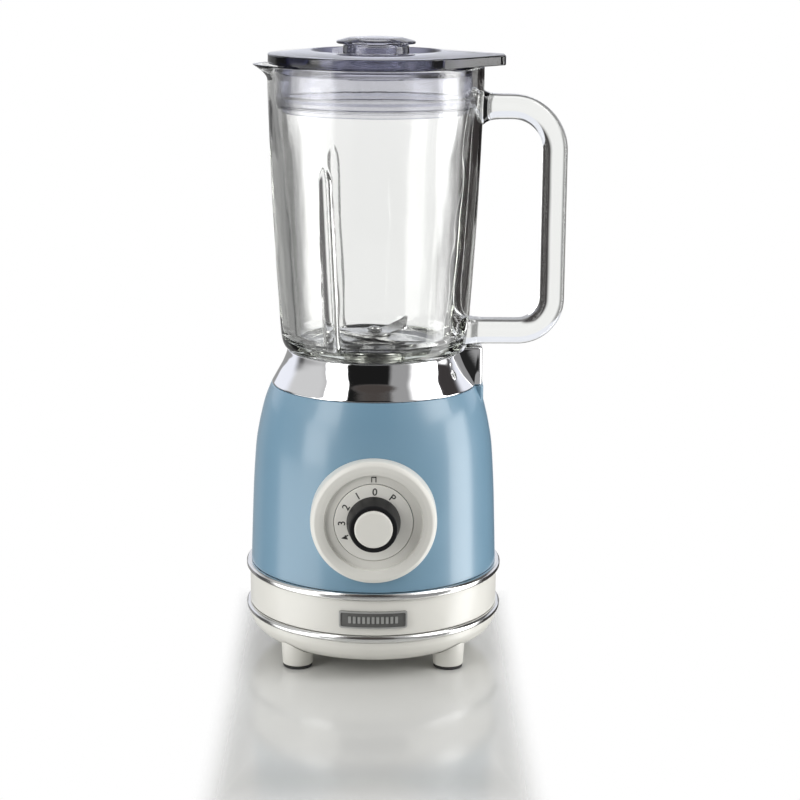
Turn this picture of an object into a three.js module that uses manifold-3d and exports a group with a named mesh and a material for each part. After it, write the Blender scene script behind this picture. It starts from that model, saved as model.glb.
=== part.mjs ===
// Countertop blender: glass jug on a painted motor base. Millimetres, +Z up.
// The drive axis is vertical at (AXIS_X, AXIS_Y); the handle points to +X, the spout to -X, the dial to -Y.
import * as THREE from "three";
import { mergeVertices } from "three/addons/utils/BufferGeometryUtils.js";
import Module from "manifold-3d";

const wasm = await Module();
wasm.setup();

// ---------- Driving dimensions ----------
// The footprint is centred on the origin: in X from trim ring to handle, in Y from trim ring to knob.
const AXIS_X = -20;
const AXIS_Y = 8;
const GAP = 0.3;
const MERGE = 0.03;
const ROUND = 40;
const SMALL_ROUND = 24;
const TINY_ROUND = 8;
const MIDDLE_ROUND = 16;
const CAP_ROUND = 32;
const RIB_ROUND = 14;

// Base, from the worktop up.
const PAD_HEIGHT = 1.7;
const PAD_R = 9.8;
const FOOT_OFFSET = 51;
const FOOT_BOTTOM_R = 10.1;
const FOOT_TOP_R = 11.4;
const FOOT_ENVELOPE_TOP = 22;
const SCREW_WELL_R = 4.4;
const SCREW_HEAD_R = 3.6;
const SCREW_HEAD_BOTTOM = 5;
const SCREW_HEAD_TOP = 8;
const SCREW_SHANK_R = 2;
const SCREW_TOP = 44;
const PAN_BOTTOM = 10;
const PAN_TOP = 27.7;
const PAN_WALL = 2.5;
const LOWER_RING_BOTTOM = 28;
const LOWER_RING_TOP = 32.6;
const UPPER_RING_BOTTOM = 57;
const UPPER_RING_TOP = 62;
const RING_R = 88;
const RING_INNER_R = 82.3;
const BAND_R = 85.5;
const BAND_INNER_R = 82.5;
const SHELL_BOTTOM = 62.3;
const SHELL_TOP = 186.7;
const SHELL_WALL = 1.6;
const COLLAR_BOTTOM = 187;
const COLLAR_TOP = 210;
const WELL_R = 57.3;
const WELL_FLOOR = 181.4;
const WELL_BOTTOM = 178;
const WELL_HOLE_R = 20;

// Jug, measured on its outside; the wall is thickest at the floor.
const JUG_FOOT_BOTTOM = 184;
const JUG_FOOT_R = 56;
const JUG_FLOOR = 215;
const JUG_FLOOR_UNDERSIDE = 204;
const JUG_RIM = 400.7;
const JUG_BORE_R = 17;
const SPOUT_REACH = 10.4;
const SPOUT_START = 391;
const SPOUT_SPREAD = 0.3;
const RIB_COUNT = 3;
const RIB_R = 5.4;
const RIB_TIP_R = 2;

// Handle, a loop in the XZ plane.
const HANDLE_X = 119.8;
const HANDLE_TOP = 373.8;
const HANDLE_BOTTOM = 222.3;
const HANDLE_THICK = 16.4;
const HANDLE_WIDE = 21;
const HANDLE_TOP_BEND = 29;
const HANDLE_BOTTOM_BEND = 23;

// Lug under the handle, with the interlock plunger in it.
const LUG_X = 73;
const LUG_HALF = 14.5;
const LUG_TOP = 213;
const BUMP_X = 74;
const BUMP_HALF = 15.3;
const BUMP_BOTTOM = 168;
const PLUNGER_X = 68.4;
const PLUNGER_R = 2.6;
const PLUNGER_TOP = 213.4;

// Lid and measuring cap.
const LID_R = 71.6;
const LID_BOTTOM = 401;
const LID_TOP = 408;
const LID_CREST = 410.3;
const LID_TAB_X = 85.5;
const LID_TAB_HALF = 14;
const CAP_TOP = 419.4;

// Dial on the front of the shell.
const DIAL_Z = 111;
const BEZEL_R = 41.5;
const BEZEL_FRONT = -89.5;
const DISC_R = 25.7;
const DISC_FRONT = -87.3;
const KNOB_BACK = -87.6;
const KNOB_FRONT = -102.8;
const KNOB_BASE_R = 17.7;
const KNOB_TIP_R = 15.6;
const KNOB_CAP_R = 12.4;
const KNOB_CAP_FRONT = -104;

// Badge plate on the front of the base band.
const BADGE_WIDE = 45.2;
const BADGE_HIGH = 11.5;
const BADGE_Z = 44;
const INLET_Z = 45;

// Drive train.
const SHAFT_R = 4;
const RUNNING_R = 4.06;
const COUPLING_LOBES = 6;
const BLADE_THICK = 1.3;
const HUB_Z = 218.7;
const BLADE_SEAT = 215.9;
const ROTOR_R = 23;
const STATOR_BORE_R = 23.6;
const CORE_BOTTOM = 100;
const CORE_TOP = 140;
const SLOT_COUNT = 12;
const COIL_X = 27;

// Outside of the painted shell, (radius, height), bottom to top.
const SHELL_PROFILE = [
  [84.6, SHELL_BOTTOM],
  [83.7, 90],
  [82.6, 118],
  [80.9, 143],
  [79, 156],
  [76.3, 168.5],
  [73.9, 177],
  [69.9, SHELL_TOP],
];

// Outside of the glass above the collar, (radius, height), bottom to top.
const JUG_PROFILE = [
  [58.8, 210.4],
  [61.6, 212.4],
  [63.1, 218],
  [65, 243],
  [68.6, 300],
  [71.2, 365],
  [72, SPOUT_START],
  [72, 395],
  [71.8, JUG_RIM],
];

// Inside of the glass, (radius, height), floor to rim.
const JUG_CAVITY = [
  [43, JUG_FLOOR],
  [51, 217.6],
  [54.2, 229],
  [59, 297],
  [61.6, 332],
  [64.2, 357],
  [66.6, 373],
  [67.3, SPOUT_START],
  [67.6, 396],
  [68.4, JUG_RIM],
];

// ---------- Solids ----------
function solidOf(geometry) {
  const bare = geometry.clone();
  bare.deleteAttribute("normal");
  bare.deleteAttribute("uv");
  const merged = mergeVertices(bare, 1e-3);
  const mesh = new wasm.Mesh({
    numProp: 3,
    vertProperties: new Float32Array(merged.attributes.position.array),
    triVerts: new Uint32Array(merged.index.array),
  });
  return new wasm.Manifold(mesh);
}

function geometryOf(solid) {
  const mesh = solid.simplify(MERGE).getMesh();
  const geometry = new THREE.BufferGeometry();
  geometry.setAttribute("position", new THREE.BufferAttribute(mesh.vertProperties, mesh.numProp));
  geometry.setIndex(new THREE.BufferAttribute(mesh.triVerts, 1));
  return geometry;
}

// Solid of revolution about Z from (radius, height) points that run with the material on their left.
function turned(points, segments = ROUND) {
  const profile = points.map(([r, z]) => new THREE.Vector2(r, z));
  const geometry = new THREE.LatheGeometry(profile, segments);
  geometry.rotateX(Math.PI / 2);
  return geometry;
}

// A plain ring, given by its radii and heights.
function ringOf(inner, outer, low, high, segments = ROUND) {
  return turned(
    [
      [inner, low],
      [outer, low],
      [outer, high],
      [inner, high],
      [inner, low],
    ],
    segments
  );
}

// A disc or cone on the Z axis.
function discOf(lowR, highR, low, high, segments = SMALL_ROUND) {
  return turned(
    [
      [0, low],
      [lowR, low],
      [highR, high],
      [0, high],
    ],
    segments
  );
}

function boxOf(x0, x1, y0, y1, z0, z1) {
  const geometry = new THREE.BoxGeometry(x1 - x0, y1 - y0, z1 - z0);
  geometry.translate((x0 + x1) / 2, (y0 + y1) / 2, (z0 + z1) / 2);
  return geometry;
}

// Rectangle with round corners, centred on (x, y).
function roundedRect(wide, high, radius, x = 0, y = 0) {
  const shape = new THREE.Shape();
  const w = wide / 2;
  const h = high / 2;
  shape.moveTo(x - w + radius, y - h);
  shape.lineTo(x + w - radius, y - h);
  shape.absarc(x + w - radius, y - h + radius, radius, -Math.PI / 2, 0, false);
  shape.absarc(x + w - radius, y + h - radius, radius, 0, Math.PI / 2, false);
  shape.absarc(x - w + radius, y + h - radius, radius, Math.PI / 2, Math.PI, false);
  shape.absarc(x - w + radius, y - h + radius, radius, Math.PI, Math.PI * 1.5, false);
  return shape;
}

// Shape drawn in XY and raised from low to high.
function raised(shape, low, high, curveSegments = 3) {
  const depth = high - low;
  const geometry = new THREE.ExtrudeGeometry(shape, { depth, bevelEnabled: false, curveSegments });
  geometry.translate(0, 0, low);
  return geometry;
}

// Shape drawn in XZ and given a depth centred on y = 0.
function raisedAlongY(shape, depth, curveSegments = 3) {
  const geometry = new THREE.ExtrudeGeometry(shape, { depth, bevelEnabled: false, curveSegments });
  geometry.rotateX(Math.PI / 2);
  geometry.translate(0, depth / 2, 0);
  return geometry;
}

// Star with round-rooted lobes, for couplings and laminations.
function toothed(outer, inner, count, duty = 0.5) {
  const shape = new THREE.Shape();
  const pitch = (Math.PI * 2) / count;
  for (let i = 0; i < count; i += 1) {
    const start = i * pitch;
    const edges = [
      [inner, start],
      [inner, start + pitch * (1 - duty) * 0.5],
      [outer, start + pitch * (1 - duty) * 0.7],
      [outer, start + pitch * (1 - (1 - duty) * 0.2)],
    ];
    edges.forEach(([r, a], k) => {
      const x = r * Math.cos(a);
      const y = r * Math.sin(a);
      if (i === 0 && k === 0) shape.moveTo(x, y);
      else shape.lineTo(x, y);
    });
  }
  shape.closePath();
  return shape;
}

function unite(...geometries) {
  return geometries.map(solidOf).reduce((sum, next) => sum.add(next));
}

function cut(solid, ...geometries) {
  return geometries.map(solidOf).reduce((left, next) => left.subtract(next), solid);
}

// A profile run from the axis out, up a list of points and back to the axis.
function filledProfile(points, low, high) {
  return [[0, low], ...points, [0, high]];
}

function shifted(points, dr, dz = 0) {
  return points.map(([r, z]) => [r + dr, z + dz]);
}

// ---------- Node table ----------
const group = new THREE.Group();
group.name = "countertop_blender";

function addNode(name, shape, color, roughness, metalness, opacity = 1) {
  const geometry = shape.isBufferGeometry ? shape : geometryOf(shape);
  geometry.computeVertexNormals();
  const material = new THREE.MeshStandardMaterial({ color, roughness, metalness });
  material.name = name;
  material.opacity = opacity;
  material.transparent = opacity < 1;
  const mesh = new THREE.Mesh(geometry, material);
  mesh.name = name;
  mesh.position.set(AXIS_X, AXIS_Y, 0);
  group.add(mesh);
}

const CREAM = "#d0cfc6";
const BLUE = "#7c9cb6";
const CHROME = "#c9cbcd";
const STEEL = "#b4b6b8";
const BLACK = "#191a1b";
const RUBBER = "#2a2a2b";
const COPPER = "#a8643a";
const BRONZE = "#a98452";
const SMOKE = "#8f93a4";
const LAMINATION = "#6f7276";

// ---------- Jug ----------
// The rim leans out into a pouring lip at -X.
function withSpout(geometry) {
  const position = geometry.attributes.position;
  for (let i = 0; i < position.count; i += 1) {
    const x = position.getX(i);
    const y = position.getY(i);
    const z = position.getZ(i);
    const r = Math.hypot(x, y);
    const rise = Math.min(Math.max((z - SPOUT_START) / (JUG_RIM - SPOUT_START), 0), 1);
    const away = Math.atan2(y, -x) / SPOUT_SPREAD;
    const lean = r > 1 ? SPOUT_REACH * rise ** 1.6 * Math.exp(-away * away) : 0;
    position.setXY(i, x * (1 + lean / Math.max(r, 1)), y * (1 + lean / Math.max(r, 1)));
  }
  return geometry;
}

function handlePath() {
  const points = [new THREE.Vector3(60, 0, HANDLE_TOP), new THREE.Vector3(74, 0, HANDLE_TOP)];
  const corners = [
    [HANDLE_X - HANDLE_TOP_BEND, HANDLE_TOP - HANDLE_TOP_BEND, HANDLE_TOP_BEND, Math.PI / 2],
    [HANDLE_X - HANDLE_BOTTOM_BEND, HANDLE_BOTTOM + HANDLE_BOTTOM_BEND, HANDLE_BOTTOM_BEND, 0],
  ];
  for (const [x, z, r, from] of corners) {
    for (let i = 0; i <= 6; i += 1) {
      const a = from - (i / 6) * (Math.PI / 2);
      points.push(new THREE.Vector3(x + r * Math.cos(a), 0, z + r * Math.sin(a)));
    }
  }
  points.push(new THREE.Vector3(70, 0, HANDLE_BOTTOM), new THREE.Vector3(56, 0, HANDLE_BOTTOM));
  return new THREE.CatmullRomCurve3(points, false, "centripetal");
}

function handle() {
  const section = roundedRect(HANDLE_THICK, HANDLE_WIDE, 6.5);
  const loop = new THREE.ExtrudeGeometry(section, {
    steps: 26,
    curveSegments: 2,
    bevelEnabled: false,
    extrudePath: handlePath(),
  });
  return loop;
}

// Swelling where each handle arm meets the wall.
function handleBoss(x, z, high) {
  const boss = new THREE.SphereGeometry(1, 12, 6);
  boss.scale(9, 13.5, high);
  boss.translate(x, 0, z);
  return boss;
}

// Round column between two points of the XZ plane.
function column(low, high, lowR, highR) {
  const start = new THREE.Vector3(low[0], 0, low[1]);
  const along = new THREE.Vector3(high[0], 0, high[1]).sub(start);
  const length = along.length();
  const tilt = new THREE.Quaternion().setFromUnitVectors(new THREE.Vector3(0, 1, 0), along.normalize());
  const cone = new THREE.CylinderGeometry(highR, lowR, length, RIB_ROUND);
  cone.translate(0, length / 2, 0);
  cone.applyQuaternion(tilt);
  return cone.translate(start.x, 0, start.z);
}

// Inner rib: a slim column along the wall, which sinks into it at the top and so ends in an arch.
function rib(degrees) {
  const foot = [51.9, JUG_FLOOR - 1];
  const shoulder = [64.7, 330];
  const tip = [67.6, 348];
  const pieces = [column(foot, shoulder, RIB_R, RIB_R), column(shoulder, tip, RIB_R, RIB_TIP_R)];
  return unite(...pieces.map((piece) => piece.rotateZ((degrees * Math.PI) / 180)));
}

function jugGlass() {
  const outside = withSpout(turned(filledProfile(JUG_PROFILE, COLLAR_TOP + 0.4, JUG_RIM)));
  const foot = turned([
    [0, JUG_FLOOR_UNDERSIDE],
    [50.5, JUG_FLOOR_UNDERSIDE],
    [50.5, JUG_FOOT_BOTTOM],
    [JUG_FOOT_R, JUG_FOOT_BOTTOM],
    [JUG_FOOT_R, COLLAR_TOP + 1],
    [0, COLLAR_TOP + 1],
  ]);
  const cavityProfile = [[0, JUG_FLOOR], ...JUG_CAVITY, [69, JUG_RIM + 1.5], [0, JUG_RIM + 1.5]];
  const cavity = withSpout(turned(cavityProfile));
  const walls = unite(outside, foot, handle(), handleBoss(69, HANDLE_TOP, 11), handleBoss(62, 223, 8.8));
  const hollow = cut(walls, cavity);
  const ribs = [];
  for (let i = 0; i < RIB_COUNT; i += 1) ribs.push(rib((i * 360) / RIB_COUNT));
  const envelope = solidOf(outside);
  const ribbed = ribs.map((one) => one.intersect(envelope)).reduce((sum, next) => sum.add(next), hollow);
  return cut(ribbed, discOf(JUG_BORE_R, JUG_BORE_R, JUG_FLOOR_UNDERSIDE - 5, JUG_FLOOR + 5));
}

// ---------- Lid ----------
// The thumb tab runs out of the rim on two tangents and ends in round corners.
function tabOutline() {
  const corner = 5;
  const x = LID_TAB_X - corner;
  const y = LID_TAB_HALF - corner;
  const reach = Math.hypot(x, y);
  const tangent = Math.atan2(y, x) + Math.acos((LID_R - corner) / reach);
  const shape = new THREE.Shape();
  shape.moveTo(0, 0);
  shape.lineTo(LID_R * Math.cos(tangent), -LID_R * Math.sin(tangent));
  shape.absarc(x, -y, corner, -tangent, 0, false);
  shape.absarc(x, y, corner, 0, tangent, false);
  shape.lineTo(LID_R * Math.cos(tangent), LID_R * Math.sin(tangent));
  shape.closePath();
  return shape;
}

function lid() {
  const body = turned([
    [65.4, LID_BOTTOM],
    [LID_R, LID_BOTTOM],
    [LID_R, LID_TOP - 1.3],
    [70.4, LID_TOP],
    [43.2, LID_CREST],
    [41.2, 401],
    [22.4, 401],
    [21.7, 413.5],
    [21.1, 414.1],
    [19.6, 414.1],
    [19.6, 398.4],
    [58.5, 398.4],
    [61.6, 396],
    [61.6, 370.4],
    [64.4, 370.4],
    [64.4, 373.2],
    [65.7, 373.4],
    [65.7, 374.2],
    [64.4, 374.2],
    [65.4, LID_BOTTOM],
  ]);
  const tab = raised(tabOutline(), LID_BOTTOM + 0.4, LID_TOP - 0.5, 4);
  const opening = discOf(62, 62, LID_BOTTOM - 40, LID_TOP + 20, ROUND);
  return solidOf(body).add(cut(solidOf(tab), opening));
}

function lidSeal() {
  return turned([
    [64.7, 374.6],
    [66.4, 376],
    [65.7, 378.2],
    [66.4, 380.4],
    [64.7, 382],
    [64.7, 374.6],
  ]);
}

// A cup turned upside down, whose flange hangs on the lid's central neck.
function measuringCap() {
  return turned([
    [0, 417],
    [15.6, 415.4],
    [17.4, 412],
    [16.8, 392],
    [18.4, 392],
    [19.1, 414.5],
    [26.2, 414.5],
    [26.2, 416.2],
    [18, 418.5],
    [0, CAP_TOP],
  ], CAP_ROUND);
}

// ---------- Blade unit ----------
function bladeHousing() {
  return turned(
    [
      [7.9, 198],
      [16.6, 198],
      [16.6, BLADE_SEAT + GAP],
      [22.5, BLADE_SEAT + GAP],
      [22.5, BLADE_SEAT + 1.2],
      [12, HUB_Z - 1.3],
      [7.9, HUB_Z - 0.9],
      [7.9, 198],
    ],
    SMALL_ROUND
  );
}

function bladeGasket() {
  return ringOf(JUG_BORE_R + 0.4, 23.2, JUG_FLOOR + GAP, BLADE_SEAT, SMALL_ROUND);
}

function retainingNut() {
  const body = raised(toothed(28, 26.4, 16, 0.6), 198, 203.7);
  return cut(solidOf(body), discOf(16.9, 16.9, 190, 210));
}

function bladeShaft() {
  return turned(
    [
      [0, 191.8],
      [SHAFT_R - 0.4, 191.8],
      [SHAFT_R, 192.2],
      [SHAFT_R, HUB_Z - 0.3],
      [3, HUB_Z - 0.3],
      [3, HUB_Z + 4.6],
      [0, HUB_Z + 4.6],
    ],
    SMALL_ROUND
  );
}

// Two opposite arms cut from bent strip. The side view gives the bend, the plan view the outline.
function bladePair(z, side, plan) {
  const strip = new THREE.Shape();
  side.forEach(([x, h], i) => (i === 0 ? strip.moveTo(x, z + h) : strip.lineTo(x, z + h)));
  [...side].reverse().forEach(([x, h]) => strip.lineTo(x, z + h + BLADE_THICK));
  const outline = new THREE.Shape();
  plan.forEach(([x, y], i) => (i === 0 ? outline.moveTo(x, y) : outline.lineTo(x, y)));
  const bent = solidOf(raisedAlongY(strip, 40));
  const arm = bent.intersect(solidOf(raised(outline, z - 30, z + 40)));
  const hub = solidOf(discOf(12, 12, z, z + BLADE_THICK));
  const pair = arm.add(arm.rotate([0, 0, 180])).add(hub);
  return cut(pair, discOf(3.3, 3.3, z - 5, z + 5, TINY_ROUND));
}

const ARM_PLAN = [
  [-2, -8],
  [12, -8.5],
  [24, -6.5],
  [37, 4.5],
  [35.5, 6],
  [22, 5.2],
  [12, 7],
  [-2, 8],
];

function bladeLower() {
  const side = [
    [-3, 0],
    [13, 0],
    [37, -1.2],
  ];
  return bladePair(HUB_Z, side, ARM_PLAN).rotate([0, 0, -42]);
}

function bladeUpper() {
  const side = [
    [-3, 0],
    [12, 0],
    [20, 1.2],
    [36, 6],
  ];
  return bladePair(HUB_Z + BLADE_THICK + GAP, side, ARM_PLAN).rotate([0, 0, 45]);
}

function bladeNut() {
  const low = HUB_Z + 2 * BLADE_THICK + 2 * GAP;
  const hex = discOf(4.8, 4.8, low, low + 2, 6);
  const cap = turned(
    [
      [0, low + 1.8],
      [3.9, low + 1.8],
      [3.4, low + 2.7],
      [0, low + 3.1],
    ],
    TINY_ROUND
  );
  return cut(unite(hex, cap), discOf(3.3, 3.3, low - 1, low + 1.7, TINY_ROUND));
}

function jugCoupling() {
  const body = turned(
    [
      [0, 184.6],
      [15.2, 184.6],
      [15.2, 194],
      [13, 196],
      [7, 196.4],
      [7, 197.6],
      [0, 197.6],
    ],
    SMALL_ROUND
  );
  const socket = raised(toothed(12.3, 9.1, COUPLING_LOBES, 0.62), 180, 191.4);
  return cut(solidOf(body), socket, discOf(4.3, 4.3, 180, 200));
}

// ---------- Motor ----------
function driveCoupling() {
  const star = raised(toothed(11.5, 8.3, COUPLING_LOBES, 0.5), 182, 190.6);
  star.rotateZ(-0.02);
  const hub = discOf(8, 8, 173, 183);
  const slinger = discOf(13, 13, 173, 174.5);
  return cut(unite(star, hub, slinger), discOf(4.3, 4.3, 170, 188));
}

function motorShaft() {
  return turned(
    [
      [0, 52],
      [3.6, 52],
      [SHAFT_R, 52.4],
      [SHAFT_R, 187.3],
      [3.6, 187.7],
      [0, 187.7],
    ],
    SMALL_ROUND
  );
}

function rotorCore() {
  const core = raised(toothed(ROTOR_R, 16, SLOT_COUNT, 0.68), CORE_BOTTOM, CORE_TOP);
  return cut(solidOf(core), discOf(4.3, 4.3, CORE_BOTTOM - 5, CORE_TOP + 5));
}

// Conductors lie in the rotor slots and are gathered into a ring at each end of the core.
function rotorWinding() {
  const pieces = [ringOf(9, 20.5, 140.4, 147, MIDDLE_ROUND), ringOf(14, 20.5, 93.5, 99.6, MIDDLE_ROUND)];
  const pitch = (Math.PI * 2) / SLOT_COUNT;
  for (let i = 0; i < SLOT_COUNT; i += 1) {
    const bar = boxOf(17.2, 19.8, -0.7, 0.7, 97, 142);
    bar.rotateZ(i * pitch + pitch * 0.08);
    pieces.push(bar);
  }
  return unite(...pieces);
}

function commutator() {
  const body = raised(toothed(12, 11.2, SLOT_COUNT, 0.8), 80, 92);
  return cut(solidOf(body), discOf(4.3, 4.3, 70, 100));
}

function coolingFan() {
  const pieces = [ringOf(4.3, 8, 54, 63.5, MIDDLE_ROUND), ringOf(4.3, 36, 62, 63.5, SMALL_ROUND)];
  for (let i = 0; i < 8; i += 1) {
    const vane = boxOf(12, 35, -0.8, 0.8, 54.5, 62.5);
    vane.rotateZ(0.4);
    vane.translate(0, -5, 0);
    vane.rotateZ((i * Math.PI) / 4);
    pieces.push(vane);
  }
  return unite(...pieces);
}

function bearing(low, high) {
  return turned(
    [
      [RUNNING_R, low],
      [11, low],
      [11, high],
      [RUNNING_R, high],
      [RUNNING_R, low],
    ],
    SMALL_ROUND
  );
}

function upperBracket() {
  const pieces = [boxOf(-42, 42, -8, 8, 154, 158), discOf(16, 16, 149.6, 158)];
  for (const side of [-1, 1]) {
    const post = discOf(4, 4, CORE_TOP + GAP, 155, TINY_ROUND);
    post.translate(side * 38, 0, 0);
    const boss = discOf(5, 5, 157, 167.7, TINY_ROUND);
    boss.translate(side * 30, 0, 0);
    pieces.push(post, boss);
  }
  return cut(unite(...pieces), discOf(11.3, 11.3, 140, 157.6), discOf(5, 5, 150, 170));
}

function lowerBracket() {
  const pieces = [boxOf(-42, 42, -8, 8, 70, 74), discOf(16, 16, 70, 78)];
  for (const side of [-1, 1]) {
    const post = discOf(4, 4, 73, CORE_BOTTOM - GAP, TINY_ROUND);
    post.translate(side * 38, 0, 0);
    const tube = boxOf(17, 32, -5.5, 5.5, 73, 92);
    tube.rotateZ(side > 0 ? 0 : Math.PI);
    pieces.push(post, tube);
  }
  return cut(unite(...pieces), discOf(11.3, 11.3, 60, 90), boxOf(-33, 33, -3.3, 3.3, 82.7, 89.3));
}

function brush(side) {
  const block = boxOf(12.5, 31, -3, 3, 83, 89);
  block.rotateZ(side > 0 ? 0 : Math.PI);
  return block;
}

function statorCore() {
  const core = solidOf(raised(roundedRect(92, 72, 10), CORE_BOTTOM, CORE_TOP));
  const slots = [];
  for (const x of [-COIL_X, COIL_X]) {
    for (const y of [-28.5, 28.5]) {
      slots.push(boxOf(x - 5.3, x + 5.3, y - 4.3, y + 4.3, CORE_BOTTOM - 5, CORE_TOP + 5));
    }
  }
  return cut(core, discOf(STATOR_BORE_R, STATOR_BORE_R, CORE_BOTTOM - 5, CORE_TOP + 5), ...slots);
}

// A rectangular loop of wire round one pole, standing in the YZ plane.
function fieldCoil(side) {
  const loop = roundedRect(65, 56, 5);
  loop.holes.push(roundedRect(49, 42, 1.5));
  const coil = raised(loop, -5, 5);
  coil.rotateX(Math.PI / 2);
  coil.rotateZ(Math.PI / 2);
  coil.translate(side * COIL_X, 0, (CORE_BOTTOM + CORE_TOP) / 2);
  return coil;
}

function motorPlatform() {
  const plate = discOf(71, 71, 168, 171);
  const wall = ringOf(50, 53, 170, WELL_BOTTOM - GAP, SMALL_ROUND);
  const notch = boxOf(57, 80, -14, 14, 160, 180);
  return cut(unite(plate, wall), notch, discOf(14.5, 14.5, 160, 180));
}

// ---------- Base ----------
function shellSolid(grow) {
  return turned(filledProfile(shifted(SHELL_PROFILE, grow), SHELL_BOTTOM, SHELL_TOP));
}

// The four screw bosses hang from webs on the inside of the shell, above the feet.
function shellBoss(x, y) {
  const boss = discOf(5, 5, 30, 80, TINY_ROUND);
  boss.translate(Math.hypot(x, y), 0, 0);
  const web = boxOf(74, 83.6, -1.5, 1.5, 64, 80);
  return [boss, web].map((piece) => piece.rotateZ(Math.atan2(y, x)));
}

function footSpots() {
  const o = FOOT_OFFSET;
  return { front_left: [-o, -o], front_right: [o, -o], back_left: [-o, o], back_right: [o, o] };
}

function at(geometry, [x, y]) {
  return geometry.translate(x, y, 0);
}

function bodyShell() {
  const bump = raised(roundedRect(34, BUMP_HALF * 2, 4, BUMP_X - 17, 0), BUMP_BOTTOM, SHELL_TOP);
  const inner = [[0, SHELL_BOTTOM - 5], [84.6 - SHELL_WALL, SHELL_BOTTOM - 5]];
  inner.push(...shifted(SHELL_PROFILE, -SHELL_WALL), [69.9 - SHELL_WALL, SHELL_TOP + 5], [0, SHELL_TOP + 5]);
  const skin = cut(unite(shellSolid(0), bump), turned(inner));
  const bosses = Object.values(footSpots()).flatMap(([x, y]) => shellBoss(x, y));
  const bored = bosses.map(solidOf).reduce((sum, next) => sum.add(next), skin);
  const holes = Object.values(footSpots()).map((spot) => at(discOf(2.3, 2.3, 20, 60, TINY_ROUND), spot));
  const plungerHole = discOf(4.6, 4.6, 150, 200);
  plungerHole.translate(PLUNGER_X, 0, 0);
  return cut(bored, ...holes, onDial(discOf(6, 6, -90, -70)), plungerHole);
}

// Flared outside, rolled rim and a well inside it that takes the foot of the jug.
function chromeCollar() {
  const body = turned([
    [WELL_HOLE_R, WELL_BOTTOM],
    [59.2, WELL_BOTTOM],
    [59.2, 200],
    [62.6, 196],
    [68, COLLAR_BOTTOM],
    [69.8, COLLAR_BOTTOM],
    [66.4, 193.5],
    [62.8, 200],
    [60.2, 206.4],
    [59.2, COLLAR_TOP - 0.4],
    [58.5, COLLAR_TOP],
    [WELL_R, COLLAR_TOP],
    [WELL_R, WELL_FLOOR],
    [WELL_HOLE_R, WELL_FLOOR],
    [WELL_HOLE_R, WELL_BOTTOM],
  ]);
  const lug = raised(roundedRect(30, LUG_HALF * 2, 4, LUG_X - 15, 0), COLLAR_BOTTOM, LUG_TOP);
  const jugRoom = turned([
    [0, WELL_FLOOR],
    [WELL_R, WELL_FLOOR],
    [WELL_R, 209],
    [59.7, 209.4],
    [62, 211.3],
    [63.2, 214.5],
    [64.2, 219],
    [0, 219],
  ]);
  const solid = cut(solidOf(lug), jugRoom, boxOf(61, 70.6, -11.6, 11.6, 180, 209.5));
  const bore = discOf(PLUNGER_R + 0.4, PLUNGER_R + 0.4, 180, 220, TINY_ROUND);
  bore.translate(PLUNGER_X, 0, 0);
  return cut(solidOf(body).add(solid), bore);
}

function seatRing() {
  return turned([
    [50, WELL_FLOOR + GAP],
    [56.6, WELL_FLOOR + GAP],
    [56, 183.7],
    [50.6, 183.7],
    [50, WELL_FLOOR + GAP],
  ]);
}

function trimRing(low, high) {
  return turned([
    [RING_INNER_R, low],
    [86.6, low],
    [RING_R, low + 1.2],
    [RING_R, high - 1.2],
    [86.6, high],
    [RING_INNER_R, high],
    [RING_INNER_R, low],
  ]);
}

function baseBand() {
  const low = LOWER_RING_TOP + GAP;
  const high = UPPER_RING_BOTTOM - GAP;
  const body = solidOf(ringOf(BAND_INNER_R, BAND_R, low, high));
  return cut(body, alongBack(discOf(5.3, 5.3, 75, 95, MIDDLE_ROUND)));
}

// Turns a piece on the Z axis so that it points to +Y at the height of the cable inlet.
function alongBack(geometry) {
  geometry.rotateX(-Math.PI / 2);
  return geometry.translate(0, 0, INLET_Z);
}

function cableGland() {
  const sleeve = turned(
    [
      [3.5, 79],
      [5, 79],
      [5, 85.8],
      [7.4, 85.8],
      [6.8, 88],
      [3.5, 88],
      [3.5, 79],
    ],
    MIDDLE_ROUND
  );
  return alongBack(sleeve);
}

function badgePlate() {
  const sheet = solidOf(ringOf(BAND_R + GAP, BAND_R + 2, BADGE_Z - 8, BADGE_Z + 8));
  const outline = raisedAlongY(roundedRect(BADGE_WIDE, BADGE_HIGH, 2, 0, 0), 40);
  outline.translate(0, -BAND_R, BADGE_Z);
  return sheet.intersect(solidOf(outline));
}

// Outside of the pan from its rim down to the flat underside.
const PAN_PROFILE = [
  [64, PAN_BOTTOM],
  [74, 12],
  [81.5, 17],
  [85.2, 22.6],
  [86, PAN_TOP],
];

function basePan() {
  const body = turned([
    [0, PAN_BOTTOM],
    ...PAN_PROFILE,
    [86 - PAN_WALL, PAN_TOP],
    [81.6, 21],
    [73, 14.6],
    [63.6, PAN_BOTTOM + PAN_WALL],
    [0, PAN_BOTTOM + PAN_WALL],
  ]);
  const posts = Object.values(footSpots()).map((spot) => at(discOf(5, 5, 14, 29.7, TINY_ROUND), spot));
  const holes = Object.values(footSpots()).map((spot) => at(discOf(2.4, 2.4, 5, 40, TINY_ROUND), spot));
  const vents = [];
  for (let i = 0; i < 12; i += 1) {
    vents.push(boxOf(22, 48, -1.8, 1.8, 5, 20).rotateZ((i * Math.PI) / 6 + Math.PI / 12));
  }
  return cut(unite(body, ...posts), ...holes, ...vents);
}

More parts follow.
